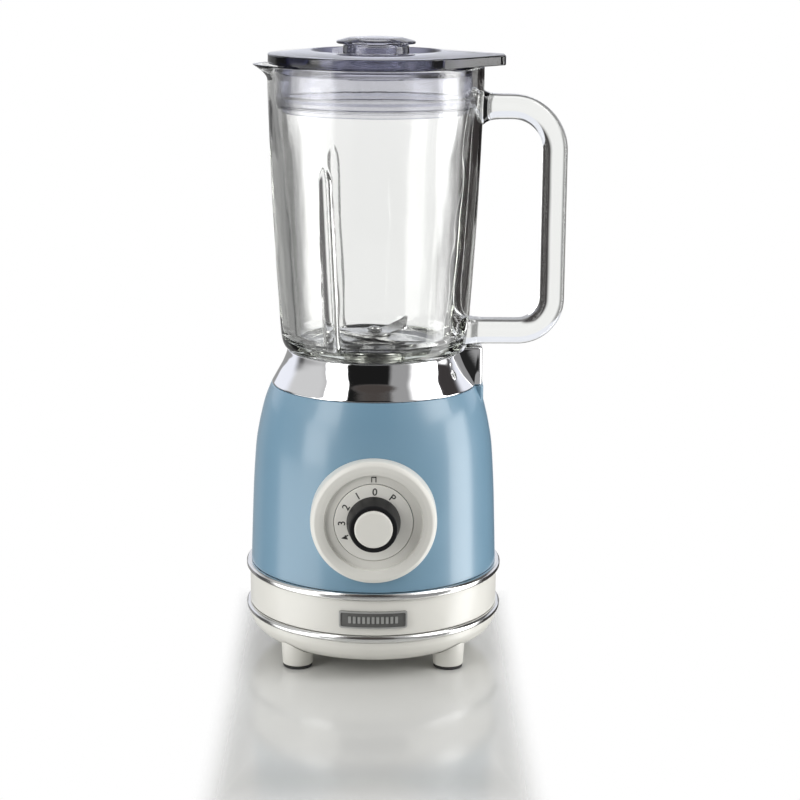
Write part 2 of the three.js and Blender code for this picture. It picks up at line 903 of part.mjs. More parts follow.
function foot(spot) {
  const low = PAD_HEIGHT + GAP;
  const taper = at(discOf(FOOT_BOTTOM_R, FOOT_TOP_R, low, FOOT_ENVELOPE_TOP, MIDDLE_ROUND), spot);
  const pan = turned([
    [0, PAN_BOTTOM - GAP],
    ...shifted(PAN_PROFILE, GAP, -GAP),
    [90, 40],
    [0, 40],
  ]);
  const well = at(discOf(SCREW_WELL_R, SCREW_WELL_R, 0, SCREW_HEAD_TOP + GAP, TINY_ROUND), spot);
  const hole = at(discOf(2.4, 2.4, 0, 40, TINY_ROUND), spot);
  return cut(solidOf(taper), pan, well, hole);
}

function footPad(spot) {
  return at(ringOf(SCREW_WELL_R, PAD_R, 0, PAD_HEIGHT, MIDDLE_ROUND), spot);
}

function panScrew(spot) {
  const screw = solidOf(
    turned(
      [
        [0, SCREW_HEAD_BOTTOM],
        [SCREW_HEAD_R, SCREW_HEAD_BOTTOM],
        [SCREW_HEAD_R, SCREW_HEAD_TOP],
        [SCREW_SHANK_R, SCREW_HEAD_TOP],
        [SCREW_SHANK_R, SCREW_TOP - 2],
        [0, SCREW_TOP],
      ],
      TINY_ROUND
    )
  );
  const slot = [boxOf(-2.6, 2.6, -0.5, 0.5, 0, 6.4), boxOf(-0.5, 0.5, -2.6, 2.6, 0, 6.4)];
  return cut(screw, ...slot).translate([...spot, 0]);
}

// ---------- Dial ----------
// Turns a piece on the Z axis to the dial's axis, so that its height becomes y.
function onDial(geometry) {
  geometry.rotateX(-Math.PI / 2);
  return geometry.translate(0, 0, DIAL_Z);
}

// The bezel's back is hollowed to the curve of the shell.
function dialBezel() {
  const body = onDial(
    turned([
      [26.1, -60],
      [26.1, -86.6],
      [31.8, -86.9],
      [33, BEZEL_FRONT],
      [38.4, BEZEL_FRONT],
      [40.7, -88.2],
      [BEZEL_R, -86],
      [BEZEL_R, -60],
      [26.1, -60],
    ])
  );
  return cut(solidOf(body), shellSolid(GAP), discOf(70, 70, 0, SHELL_BOTTOM + 5, ROUND));
}

function dialDisc() {
  return onDial(
    turned([
      [3.3, -85.3],
      [3.3, DISC_FRONT],
      [DISC_R - 0.4, DISC_FRONT],
      [DISC_R, DISC_FRONT + 0.4],
      [DISC_R, -85.3],
      [3.3, -85.3],
    ])
  );
}

function knobBarrel() {
  return onDial(
    turned(
      [
        [3.3, KNOB_BACK],
        [3.3, -98.3],
        [0, -98.3],
        [0, -101.4],
        [KNOB_CAP_R + GAP, -101.4],
        [KNOB_CAP_R + GAP, KNOB_FRONT],
        [KNOB_TIP_R - 0.9, KNOB_FRONT],
        [KNOB_TIP_R, KNOB_FRONT + 1],
        [KNOB_BASE_R, KNOB_BACK],
        [3.3, KNOB_BACK],
      ],
      CAP_ROUND
    )
  );
}

function knobCap() {
  return onDial(
    turned(
      [
        [0, -101.7],
        [0, KNOB_CAP_FRONT],
        [KNOB_CAP_R - 1.2, -103.7],
        [KNOB_CAP_R, -102.9],
        [KNOB_CAP_R, -101.7],
        [0, -101.7],
      ],
      CAP_ROUND
    )
  );
}

function switchShaft() {
  return onDial(discOf(3, 3, -98, -66, MIDDLE_ROUND));
}

function switchBody() {
  const body = boxOf(-20, 20, -76, -54, DIAL_Z - 16, DIAL_Z + 16);
  const nose = boxOf(-5, 5, -79, -70, DIAL_Z - 5, DIAL_Z + 5);
  return cut(unite(body, nose), onDial(discOf(3.1, 3.1, -90, -65.6, MIDDLE_ROUND)));
}

// ---------- Interlock ----------
function interlockPlunger() {
  const pin = turned(
    [
      [0, 181],
      [4, 181],
      [4, 183],
      [PLUNGER_R, 183],
      [PLUNGER_R, PLUNGER_TOP - 0.6],
      [PLUNGER_R - 0.6, PLUNGER_TOP],
      [0, PLUNGER_TOP],
    ],
    TINY_ROUND
  );
  return pin.translate(PLUNGER_X, 0, 0);
}

function interlockSpring() {
  const points = [];
  const turns = 3;
  const perTurn = 8;
  for (let i = 0; i <= turns * perTurn; i += 1) {
    const a = (i / perTurn) * Math.PI * 2;
    const z = 175.5 + (4.7 * i) / (turns * perTurn);
    points.push(new THREE.Vector3(2.9 * Math.cos(a), 2.9 * Math.sin(a), z));
  }
  const wire = new THREE.Shape().absarc(0, 0, 0.4, 0, Math.PI * 2, false);
  const coil = new THREE.ExtrudeGeometry(wire, {
    steps: turns * perTurn,
    curveSegments: 2,
    bevelEnabled: false,
    extrudePath: new THREE.CatmullRomCurve3(points),
  });
  return coil.translate(PLUNGER_X, 0, 0);
}

function microswitch() {
  return unite(boxOf(61, 71, -6, 6, 163, 173.4), boxOf(65, 71, -4, 4, 173, 174.7));
}

// ---------- Assembly ----------
addNode("jug_glass", jugGlass(), "#dfe8e6", 0.04, 0, 0.3);
addNode("lid", lid(), SMOKE, 0.15, 0, 0.6);
addNode("lid_seal", lidSeal(), "#c9ccd0", 0.5, 0, 0.7);
addNode("measuring_cap", measuringCap(), SMOKE, 0.15, 0, 0.6);
addNode("blade_housing", bladeHousing(), STEEL, 0.3, 1);
addNode("blade_gasket", bladeGasket(), "#b9bbba", 0.7, 0);
addNode("retaining_nut", retainingNut(), "#3a3b3d", 0.6, 0);
addNode("blade_bushing", ringOf(RUNNING_R, 7.6, 200, 213.6, SMALL_ROUND), BRONZE, 0.4, 0.9);
addNode("shaft_seal", ringOf(4.3, 7.6, 213.9, 217.3, MIDDLE_ROUND), RUBBER, 0.8, 0);
addNode("blade_shaft", bladeShaft(), STEEL, 0.25, 1);
addNode("blade_lower", bladeLower(), STEEL, 0.25, 1);
addNode("blade_upper", bladeUpper(), STEEL, 0.25, 1);
addNode("blade_nut", bladeNut(), STEEL, 0.2, 1);
addNode("jug_coupling", jugCoupling(), BLACK, 0.6, 0);

addNode("chrome_collar", chromeCollar(), CHROME, 0.06, 1);
addNode("seat_ring", seatRing(), RUBBER, 0.8, 0);
addNode("body_shell", bodyShell(), BLUE, 0.32, 0.25);
addNode("motor_platform", motorPlatform(), "#3f4143", 0.6, 0);
addNode("upper_trim_ring", trimRing(UPPER_RING_BOTTOM, UPPER_RING_TOP), CHROME, 0.06, 1);
addNode("base_band", baseBand(), CREAM, 0.35, 0);
addNode("lower_trim_ring", trimRing(LOWER_RING_BOTTOM, LOWER_RING_TOP), CHROME, 0.06, 1);
addNode("base_pan", basePan(), CREAM, 0.4, 0);
addNode("badge_plate", badgePlate(), "#a9abad", 0.35, 0.9);
addNode("cable_gland", cableGland(), BLACK, 0.6, 0);
for (const [where, spot] of Object.entries(footSpots())) {
  addNode("foot_" + where, foot(spot), CREAM, 0.45, 0);
  addNode("foot_pad_" + where, footPad(spot), RUBBER, 0.85, 0);
  addNode("pan_screw_" + where, panScrew(spot), STEEL, 0.35, 1);
}

addNode("dial_bezel", dialBezel(), CREAM, 0.35, 0);
addNode("dial_disc", dialDisc(), "#dedfda", 0.35, 0);
addNode("knob_barrel", knobBarrel(), BLACK, 0.35, 0);
addNode("knob_cap", knobCap(), CREAM, 0.3, 0);
addNode("switch_shaft", switchShaft(), STEEL, 0.4, 0.9);
addNode("switch_body", switchBody(), BLACK, 0.6, 0);
addNode("interlock_plunger", interlockPlunger(), "#8f9294", 0.4, 0);
addNode("interlock_spring", interlockSpring(), STEEL, 0.3, 1);
addNode("microswitch", microswitch(), BLACK, 0.6, 0);

addNode("drive_coupling", driveCoupling(), BLACK, 0.6, 0);
addNode("motor_shaft", motorShaft(), STEEL, 0.25, 1);
addNode("rotor_core", rotorCore(), LAMINATION, 0.45, 0.9);
addNode("rotor_winding", rotorWinding(), COPPER, 0.4, 0.8);
addNode("commutator", commutator(), COPPER, 0.3, 0.9);
addNode("cooling_fan", coolingFan(), BLACK, 0.6, 0);
addNode("upper_bearing", bearing(150, 157.3), BRONZE, 0.4, 0.9);
addNode("lower_bearing", bearing(70.3, 77.7), BRONZE, 0.4, 0.9);
addNode("upper_bracket", upperBracket(), "#9a9c9e", 0.5, 0.8);
addNode("lower_bracket", lowerBracket(), "#9a9c9e", 0.5, 0.8);
addNode("stator_core", statorCore(), LAMINATION, 0.45, 0.9);
addNode("field_coil_left", fieldCoil(-1), COPPER, 0.4, 0.7);
addNode("field_coil_right", fieldCoil(1), COPPER, 0.4, 0.7);
addNode("brush_left", brush(-1), "#2d2d2e", 0.8, 0);
addNode("brush_right", brush(1), "#2d2d2e", 0.8, 0);

export default group;
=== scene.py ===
"""Looks of the countertop blender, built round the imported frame. Metres, +Z up.

Profiles and outlines are given in millimetres about the drive axis.
+X is the handle, -X the spout and -Y the dial.
"""
import math

import bmesh
import bpy
from mathutils import Matrix, Vector


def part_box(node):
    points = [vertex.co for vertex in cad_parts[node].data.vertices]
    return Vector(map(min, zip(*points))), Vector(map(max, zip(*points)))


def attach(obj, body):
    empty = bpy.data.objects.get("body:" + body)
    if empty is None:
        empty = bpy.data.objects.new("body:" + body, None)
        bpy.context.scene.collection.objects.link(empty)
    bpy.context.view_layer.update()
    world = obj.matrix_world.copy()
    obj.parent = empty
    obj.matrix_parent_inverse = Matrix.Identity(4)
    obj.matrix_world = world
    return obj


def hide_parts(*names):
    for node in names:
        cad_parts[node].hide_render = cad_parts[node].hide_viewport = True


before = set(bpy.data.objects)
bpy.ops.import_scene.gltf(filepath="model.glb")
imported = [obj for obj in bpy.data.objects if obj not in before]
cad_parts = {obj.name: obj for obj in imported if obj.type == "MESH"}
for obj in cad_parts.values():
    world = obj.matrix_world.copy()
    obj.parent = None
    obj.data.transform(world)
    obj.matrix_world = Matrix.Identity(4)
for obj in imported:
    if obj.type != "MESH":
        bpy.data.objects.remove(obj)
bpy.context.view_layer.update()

MM = 0.001


def bottom_of(node):
    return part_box(node)[0].z / MM


def top_of(node):
    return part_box(node)[1].z / MM


def middle_of(node):
    return (bottom_of(node) + top_of(node)) / 2


def lying(z):
    """Lays a piece down about the height z, so that its own heights run along Y."""
    return Matrix.Translation((0, 0, z)) @ Matrix.Rotation(math.radians(-90), 4, "X")


def facing(z):
    """Stands an outline up about the height z, so that it faces the front."""
    return Matrix.Translation((0, 0, z)) @ Matrix.Rotation(math.radians(90), 4, "X")


shaft_low, shaft_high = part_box("motor_shaft")
AXIS = Vector(((shaft_low.x + shaft_high.x) / 2, (shaft_low.y + shaft_high.y) / 2, 0))
DIAL_Z = middle_of("dial_bezel")
TO_DIAL = lying(DIAL_Z)


# ---------- Lines ----------
def rounded(corners, closed=False, steps=5):
    """Points of a line whose corners are (a, b) or (a, b, radius)."""
    out = []
    count = len(corners)
    for i, corner in enumerate(corners):
        here = Vector(corner[:2])
        ends = not closed and i in (0, count - 1)
        if len(corner) < 3 or ends:
            out.append(tuple(here))
            continue
        before = Vector(corners[i - 1][:2]) - here
        after = Vector(corners[(i + 1) % count][:2]) - here
        half = before.angle(after) / 2
        reach = min(corner[2] / math.tan(half), 0.49 * before.length, 0.49 * after.length)
        start = here + before.normalized() * reach
        end = here + after.normalized() * reach
        for k in range(steps + 1):
            t = k / steps
            out.append(tuple(start * (1 - t) ** 2 + here * 2 * t * (1 - t) + end * t * t))
    return out


def smooth_line(points, steps=6):
    """A soft line through every point."""
    ends = [points[0], *points, points[-1]]
    out = []
    for i in range(1, len(ends) - 2):
        a, b, c, d = (Vector(p) for p in ends[i - 1 : i + 3])
        for k in range(steps):
            t = k / steps
            bend = (2 * a - 5 * b + 4 * c - d) * t**2 + (3 * b - a - 3 * c + d) * t**3
            out.append(tuple(0.5 * (2 * b + (c - a) * t + bend)))
    return [*out, tuple(points[-1])]


def round_box(wide, high, radius, centre=(0, 0), steps=6):
    """Outline of a rectangle with round corners."""
    x, y = centre
    w, h = wide / 2, high / 2
    signs = ((-1, -1), (1, -1), (1, 1), (-1, 1))
    return rounded([(x + i * w, y + j * h, radius) for i, j in signs], closed=True, steps=steps)


def star(outer, inner, count, duty, corner=0.4):
    """Outline with round-cornered teeth, for couplings and nuts. duty is about the teeth's share of it."""
    space = 1 - duty
    tooth = ((inner, 0), (inner, space * 0.5), (outer, space * 0.7), (outer, 1 - space * 0.2))
    corners = []
    for i in range(count):
        for r, share in tooth:
            a = 2 * math.pi / count * (i + share)
            corners.append((r * math.cos(a), r * math.sin(a), corner))
    return rounded(corners, closed=True, steps=2)


def ring_angles(count=144, dense=()):
    """Angles of a full turn; dense holds (centre, half width, step) in degrees where they lie closer."""
    least = 0.12  # degrees; of closer angles only the first is kept
    found = {round(i * 360 / count, 3) for i in range(count)}
    for centre, half, step in dense:
        k = -half
        while k <= half:
            found.add(round((centre + k) % 360, 3))
            k += step
    ordered = sorted(found)
    kept = [ordered[0]]
    for a in ordered[1:]:
        if a - kept[-1] > least:
            kept.append(a)
    return [math.radians(a) for a in kept]


# ---------- Meshes ----------
def mesh_object(name, verts, faces, turn=None):
    """A closed mesh from millimetres about the drive axis."""
    mesh = bpy.data.meshes.new(name)
    mesh.from_pydata([tuple(v) for v in verts], [], faces)
    if turn is not None:
        mesh.transform(turn)
    mesh.transform(Matrix.Translation(AXIS) @ Matrix.Scale(MM, 4))
    work = bmesh.new()
    work.from_mesh(mesh)
    bmesh.ops.remove_doubles(work, verts=work.verts, dist=1e-7)
    bmesh.ops.recalc_face_normals(work, faces=work.faces)
    work.to_mesh(mesh)
    work.free()
    piece = bpy.data.objects.new(name, mesh)
    bpy.context.scene.collection.objects.link(piece)
    return piece


def spin(name, line, closed=False, angles=None, warp=None, turn=None):
    """Turned piece from (radius, height) points. warp(x, y, z) moves each point."""
    angles = angles or ring_angles()
    count = len(angles)
    verts, rows, faces = [], [], []
    for r, z in line:
        if r < 1e-6:
            rows.append([len(verts)] * count)
            verts.append((0, 0, z))
        else:
            rows.append(list(range(len(verts), len(verts) + count)))
            verts.extend((r * math.cos(a), r * math.sin(a), z) for a in angles)
    pairs = list(zip(rows, rows[1:]))
    if closed:
        pairs.append((rows[-1], rows[0]))
    for low, high in pairs:
        for i in range(count):
            k = (i + 1) % count
            face = [low[i], low[k], high[k], high[i]]
            face = [v for n, v in enumerate(face) if v not in face[:n]]
            if len(face) > 2:
                faces.append(face)
    if warp:
        verts = [warp(*v) for v in verts]
    return mesh_object(name, verts, faces, turn)


def rod(name, radius, low, high, turn=None, count=48):
    """A plain cylinder, mostly for boring holes."""
    line = [(0, low), (radius, low), (radius, high), (0, high)]
    return spin(name, line, angles=ring_angles(count), turn=turn)


def loft(name, sections, turn=None):
    """Closed piece through rings of points with the same count."""
    count = len(sections[0])
    verts = [p for section in sections for p in section]
    faces = []
    for s in range(len(sections) - 1):
        for i in range(count):
            k = (i + 1) % count
            faces.append([s * count + i, s * count + k, (s + 1) * count + k, (s + 1) * count + i])
    faces.append(list(range(count)))
    faces.append([(len(sections) - 1) * count + i for i in range(count)])
    return mesh_object(name, verts, faces, turn)


def prism(name, outline, low, high, edge=0, turn=None):
    """Outline in XY raised from low to high, with its edges rounded by edge."""
    steps = 4 if edge else 0
    levels = []
    for k in range(steps + 1):
        a = math.pi / 2 * (k / steps if steps else 1)
        levels.append((edge * (1 - math.sin(a)), low + edge * (1 - math.cos(a))))
    levels += [(inset, high - (z - low)) for inset, z in reversed(levels)]
    return loft(name, [[(x, y, z) for x, y in shrunk(outline, inset)] for inset, z in levels], turn)


def shrunk(outline, inset):
    """The outline moved inwards; its points run counterclockwise."""
    if not inset:
        return outline
    out = []
    for i, point in enumerate(outline):
        along = (Vector(outline[(i + 1) % len(outline)]) - Vector(outline[i - 1])).normalized()
        out.append((point[0] - along.y * inset, point[1] + along.x * inset))
    return out


def combine(target, tool, operation):
    """Joins a tool to a piece, cuts it away or keeps only their overlap, and removes the tool."""
    change = target.modifiers.new("change", "BOOLEAN")
    change.operation = operation
    change.solver = "MANIFOLD"
    change.object = tool
    bpy.context.view_layer.update()
    done = bpy.data.meshes.new_from_object(target.evaluated_get(bpy.context.evaluated_depsgraph_get()))
    target.modifiers.clear()
    old = target.data
    target.data = done
    done.name = target.name
    bpy.data.meshes.remove(old)
    bpy.data.meshes.remove(tool.data)
    return target


def cut(target, *tools):
    for tool in tools:
        combine(target, tool, "DIFFERENCE")
    return target


def add(target, *tools):
    for tool in tools:
        combine(target, tool, "UNION")
    return target


def finish_piece(piece, paint, body, nodes=(), sharp=35):
    """Smooth shading, material, body, and the CAD nodes that the piece stands for."""
    mesh = piece.data
    mesh.polygons.foreach_set("use_smooth", [True] * len(mesh.polygons))
    mesh.set_sharp_from_angle(angle=math.radians(sharp))
    mesh.materials.clear()
    mesh.materials.append(paint)
    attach(piece, body)
    if nodes:
        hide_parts(*nodes)
    return piece


# ---------- Materials ----------
class Nodes:
    """Short names for making one material's or world's nodes."""

    def __init__(self, owner):
        owner.use_nodes = True
        self.tree = owner.node_tree
        self.tree.nodes.clear()

    def node(self, kind, **settings):
        made = self.tree.nodes.new(kind)
        for key, value in settings.items():
            setattr(made, key, value)
        return made

    def link(self, source, target):
        if isinstance(source, bpy.types.NodeSocket):
            self.tree.links.new(source, target)
        else:
            target.default_value = source

    def math(self, operation, a, b=0.0):
        made = self.node("ShaderNodeMath", operation=operation)
        self.link(a, made.inputs[0])
        self.link(b, made.inputs[1])
        return made.outputs[0]

    def smooth(self, value, low, high, out_low=0.0, out_high=1.0):
        """Soft change from out_low to out_high while value goes from low to high."""
        made = self.node("ShaderNodeMapRange", interpolation_type="SMOOTHSTEP")
        for socket, given in zip(made.inputs, (value, low, high, out_low, out_high)):
            self.link(given, socket)
        return made.outputs[0]

    def mix(self, factor, a, b):
        made = self.node("ShaderNodeMix", data_type="RGBA")
        self.link(factor, made.inputs[0])
        self.link(a, made.inputs[6])
        self.link(b, made.inputs[7])
        return made.outputs[2]

    def place(self, stretch=(1, 1, 1)):
        """Object coordinates in metres, stretched."""
        coords = self.node("ShaderNodeTexCoord")
        made = self.node("ShaderNodeMapping")
        self.tree.links.new(coords.outputs["Object"], made.inputs[0])
        made.inputs["Scale"].default_value = stretch
        return made.outputs[0]

    def noise(self, scale, detail=3.0, stretch=(1, 1, 1)):
        made = self.node("ShaderNodeTexNoise")
        self.tree.links.new(self.place(stretch), made.inputs["Vector"])
        made.inputs["Scale"].default_value = scale
        made.inputs["Detail"].default_value = detail
        return made.outputs[0]

    def bump(self, height, distance):
        made = self.node("ShaderNodeBump")
        self.link(height, made.inputs["Height"])
        made.inputs["Distance"].default_value = distance
        made.inputs["Strength"].default_value = 1.0
        return made.outputs[0]


def principled(name):
    """A new material with a principled shader: the material, its nodes, the shader and the output."""
    made = bpy.data.materials.new(name)
    kit = Nodes(made)
    out = kit.node("ShaderNodeOutputMaterial")
    shader = kit.node("ShaderNodeBsdfPrincipled")
    kit.tree.links.new(shader.outputs[0], out.inputs["Surface"])
    return made, kit, shader, out


def shade(color, by):
    return (*[min(c * by, 1.0) for c in color], 1.0)


def surface(
    name, color, roughness, vary=0.05, cloud=60, grain=1400, relief=0.00002, stretch=(1, 1, 1), spread=0.06,
    **sockets,
):
    """A principled surface whose colour, roughness and relief vary with noise at the real scale.

    vary and spread are how far the colour and the roughness go, cloud and grain the scales of the two noises,
    and relief the height of the bump in metres.
    """
    made, kit, shader, _ = principled(name)
    clouds = kit.noise(cloud, 3.0, stretch)
    fine = kit.noise(grain, 2.0, stretch)
    both = kit.math("ADD", kit.math("MULTIPLY", clouds, 0.6), kit.math("MULTIPLY", fine, 0.4))
    rough = kit.smooth(both, 0.25, 0.75, max(roughness - spread, 0.0), roughness + spread)
    kit.link(kit.mix(both, shade(color, 1 - vary), shade(color, 1 + vary)), shader.inputs["Base Color"])
    kit.link(rough, shader.inputs["Roughness"])
    kit.link(kit.bump(fine, relief), shader.inputs["Normal"])
    for key, value in sockets.items():
        shader.inputs[key.replace("_", " ")].default_value = value
    return made


def clear(name, color, roughness, ior, tint, density, ripple, ripple_scale, ripple_stretch=(1, 1, 1)):
    """Glass or clear plastic: a dielectric whose faces wander a little, tinted through its thickness."""
    made, kit, shader, out = principled(name)
    wave = kit.noise(ripple_scale, 2.0, ripple_stretch)
    kit.link(kit.mix(wave, shade(color, 0.985), shade(color, 1.01)), shader.inputs["Base Color"])
    kit.link(kit.smooth(wave, 0.3, 0.8, roughness, roughness + 0.01), shader.inputs["Roughness"])
    kit.link(kit.bump(wave, ripple), shader.inputs["Normal"])
    shader.inputs["IOR"].default_value = ior
    shader.inputs["Transmission Weight"].default_value = 1.0
    volume = kit.node("ShaderNodeVolumeAbsorption")
    volume.inputs["Color"].default_value = (*tint, 1)
    volume.inputs["Density"].default_value = density
    kit.tree.links.new(volume.outputs[0], out.inputs["Volume"])
    return made


glass = clear("glass", (1, 1, 1), 0.0, 1.5, (0.81, 0.825, 0.785), 22.0, 0.00055, 34, (1, 1, 0.35))
smoke = clear("smoked_plastic", (0.97, 0.97, 0.98), 0.015, 1.47, (0.46, 0.465, 0.57), 88.0, 0.00002, 200)
soft_seal = clear("clear_silicone", (0.93, 0.93, 0.95), 0.25, 1.41, (0.7, 0.7, 0.75), 60.0, 0.00003, 300)
chrome = surface("chrome", (0.86, 0.86, 0.87), 0.035, 0.02, 30, 900, 0.000004, spread=0.02, Metallic=1.0)
satin = surface("satin_trim", (0.74, 0.74, 0.73), 0.15, 0.04, 60, 1500, 0.000006, spread=0.03, Metallic=1.0)
paint = surface(
    "blue_paint", (0.168, 0.3, 0.405), 0.34, 0.03, 40, 2600, 0.000012,
    spread=0.04, Coat_Weight=0.55, Coat_Roughness=0.12,
)
cream = surface(
    "cream_plastic", (0.71, 0.70, 0.65), 0.36, 0.025, 70, 2200, 0.000012, Coat_Weight=0.25, Coat_Roughness=0.2
)
face = surface("dial_face", (0.74, 0.73, 0.68), 0.4, 0.02, 90, 2600, 0.00001)
black = surface(
    "black_plastic", (0.004, 0.004, 0.005), 0.42, 0.25, 120, 1800, 0.00001, Specular_IOR_Level=0.3
)
rubber = surface("black_rubber", (0.03, 0.03, 0.03), 0.75, 0.2, 150, 1500, 0.00005)
steel = surface("stainless", (0.62, 0.62, 0.61), 0.24, 0.08, 180, 1500, 0.00001, (1, 1, 6), Metallic=1.0)
grey = surface("grey_plastic", (0.14, 0.145, 0.15), 0.5, 0.12, 90, 1300, 0.00003)
bronze = surface("bronze", (0.48, 0.31, 0.13), 0.42, 0.15, 120, 900, 0.00002, Metallic=0.9)
badge_metal = surface(
    "badge_metal", (0.5, 0.5, 0.49), 0.34, 0.2, 260, 1600, 0.00003, (1, 1, 5), Metallic=0.85
)
# The badge plate is coloured dark as painted shade in its recess between the raised border and the bars.
badge_recess_shade = surface("badge_recess_shade", (0.13, 0.13, 0.125), 0.5, 0.3, 260, 1600, 0.00006, Metallic=0.5)
copper = surface("copper", (0.55, 0.2, 0.09), 0.38, 0.25, 500, 2600, 0.00012, (1, 1, 14), Metallic=0.8)
laminated = surface(
    "laminated_steel", (0.2, 0.21, 0.22), 0.45, 0.3, 300, 900, 0.00015, (0.05, 0.05, 2.2), Metallic=0.9
)
alloy = surface("cast_alloy", (0.42, 0.43, 0.44), 0.5, 0.18, 200, 900, 0.0001, Metallic=0.8)
carbon = surface("carbon", (0.02, 0.02, 0.022), 0.8, 0.3, 300, 1800, 0.00006)
# Dark print colour: the printed figures on the disc, and painted shade for the index arch in the bezel's
# recess.
print_and_shade_ink = surface("print_ink_and_painted_shade", (0.03, 0.03, 0.028), 0.5, 0.2, 300, 2600, 0.000005)

# ---------- Jug ----------
RIM = top_of("jug_glass")
WALL_TOP = 398
RIM_INSIDE, RIM_OUTSIDE = 67.9, 72
CAVITY_FLOOR = 215
SPOUT_START = 391
SPOUT_REACH = 10.4
SPOUT_SPREAD = 0.3
RIB_ANGLES = (0, 120, 240)
# The centre line of a rib, as (radius, height, half width), from its foot past the bend to its tip.
RIB_LINE = ((51.9, 214, 5.4), (64.7, 330, 5.4), (67.6, 348, 2))
RIB_BLEND = 0.6


def with_spout(x, y, z):
    """The rim leans out into a pouring lip at -X."""
    r = math.hypot(x, y)
    rise = min(max((z - SPOUT_START) / (RIM - SPOUT_START), 0), 1)
    if not rise:
        return x, y, z
    away = math.atan2(y, -x) / SPOUT_SPREAD
    lean = SPOUT_REACH * rise**1.6 * math.exp(-away * away)
    return x * (1 + lean / r), y * (1 + lean / r), z


def rib_radius(angle, z, wall):
    """How far out the inside of the wall lies where the slim arched ribs stand on it."""
    low, high = RIB_LINE[1:] if z > RIB_LINE[1][1] else RIB_LINE[:2]
    share = (z - low[1]) / (high[1] - low[1])
    centre = low[0] + (high[0] - low[0]) * share
    thick = low[2] + (high[2] - low[2]) * share
    found = wall
    for degrees in RIB_ANGLES:
        away = (angle - math.radians(degrees) + math.pi) % (2 * math.pi) - math.pi
        side = wall * math.sin(away)
        if abs(away) < 0.5 and abs(side) < thick:
            near = centre - math.sqrt(thick * thick - side * side)
            blend = max(RIB_BLEND - abs(near - found), 0) / RIB_BLEND
            found = min(near, found) - blend * blend * RIB_BLEND / 4
    return found


def jug_surface(x, y, z):
    """Puts the ribs on the inside of the wall and the spout on the rim."""
    r = math.hypot(x, y)
    above_floor = CAVITY_FLOOR + 1.4 < z < RIB_LINE[2][1] - 1
    if above_floor and 46 < r < outside_at(z) - 2:
        new = rib_radius(math.atan2(y, x), z, r)
        x, y = x * new / r, y * new / r
    return with_spout(x, y, z)


JUG_OUTSIDE = smooth_line(
    [
        (59.6, 211), (61.6, 213.2), (63.1, 218), (64.1, 228), (65, 243), (66.9, 271), (68.6, 300), (70, 332),
        (71.2, 365), (71.8, 382), (72, 392), (RIM_OUTSIDE, WALL_TOP),
    ]
)
# From the rim down to the floor, in more steps, because the ribs are pressed out of these rows.
JUG_INSIDE = smooth_line(
    [
        (RIM_INSIDE, WALL_TOP), (67.5, 392), (66.8, 378), (65.4, 365), (63.6, 350), (61.6, 332), (59, 297),
        (56.4, 262), (54.1, 229), (52.8, 221.5), (50, 217.8), (43, CAVITY_FLOOR + 0.4),
    ],
    13,
)


def outside_at(z):
    """Radius of the outside of the jug at a height, from the nearest row below."""
    below = [r for r, h in JUG_OUTSIDE if h <= z]
    return below[-1] if below else 60.0


# ---------- Handle ----------
GRIP_X = 119.8
HANDLE_TOP, HANDLE_FOOT = 373.8, 222.3
UPPER_BEND, LOWER_BEND = 29, 23
GRIP_THICK, GRIP_WIDE, GRIP_ROUND = 16.4, 21, 6.5
# Where the roots meet the wall, how much they swell there, and over what length this fades.
UPPER_WALL, LOWER_WALL = 71.4, 64.2
SWELL_THICK, SWELL_WIDE, SWELL_FADE = 6.8, 6, 3.2


def quarter(x, z, radius, start):
    """A quarter turn about (x, z), clockwise from start in degrees."""
    angles = [math.radians(start - 5 * k) for k in range(19)]
    return [(x + radius * math.cos(a), z + radius * math.sin(a)) for a in angles]


def handle_path():
    """Middle of the handle as (x, z), from inside the upper root to inside the lower one."""
    path = smooth_line([(66, HANDLE_TOP), (78, HANDLE_TOP), (GRIP_X - UPPER_BEND, HANDLE_TOP)], 8)[:-1]
    path += quarter(GRIP_X - UPPER_BEND, HANDLE_TOP - UPPER_BEND, UPPER_BEND, 90)
    path += [(GRIP_X, z) for z in (336, 320, 300, 280, 262, 252)]
    path += quarter(GRIP_X - LOWER_BEND, HANDLE_FOOT + LOWER_BEND, LOWER_BEND, 0)
    return path + smooth_line([(90, HANDLE_FOOT), (78, HANDLE_FOOT), (60, HANDLE_FOOT)], 8)


def handle_sections():
    """Rings along the handle, wider where they meet the wall of the jug."""
    path = handle_path()
    sections = []
    for i, (x, z) in enumerate(path):
        ahead = Vector(path[min(i + 1, len(path) - 1)]) - Vector(path[max(i - 1, 0)])
        ahead.normalize()
        across = Vector((ahead.y, -ahead.x))
        upper = z > (HANDLE_TOP + HANDLE_FOOT) / 2
        wall = UPPER_WALL if upper else LOWER_WALL
        swell = math.exp(-max(x - wall, 0) / SWELL_FADE) if x < wall + 20 else 0
        thick = GRIP_THICK + SWELL_THICK * swell * (1 if upper else 0.25)
        outline = round_box(thick, GRIP_WIDE + SWELL_WIDE * swell, GRIP_ROUND)
        sections.append([(x + across.x * u, v, z + across.y * u) for u, v in outline])
    return sections


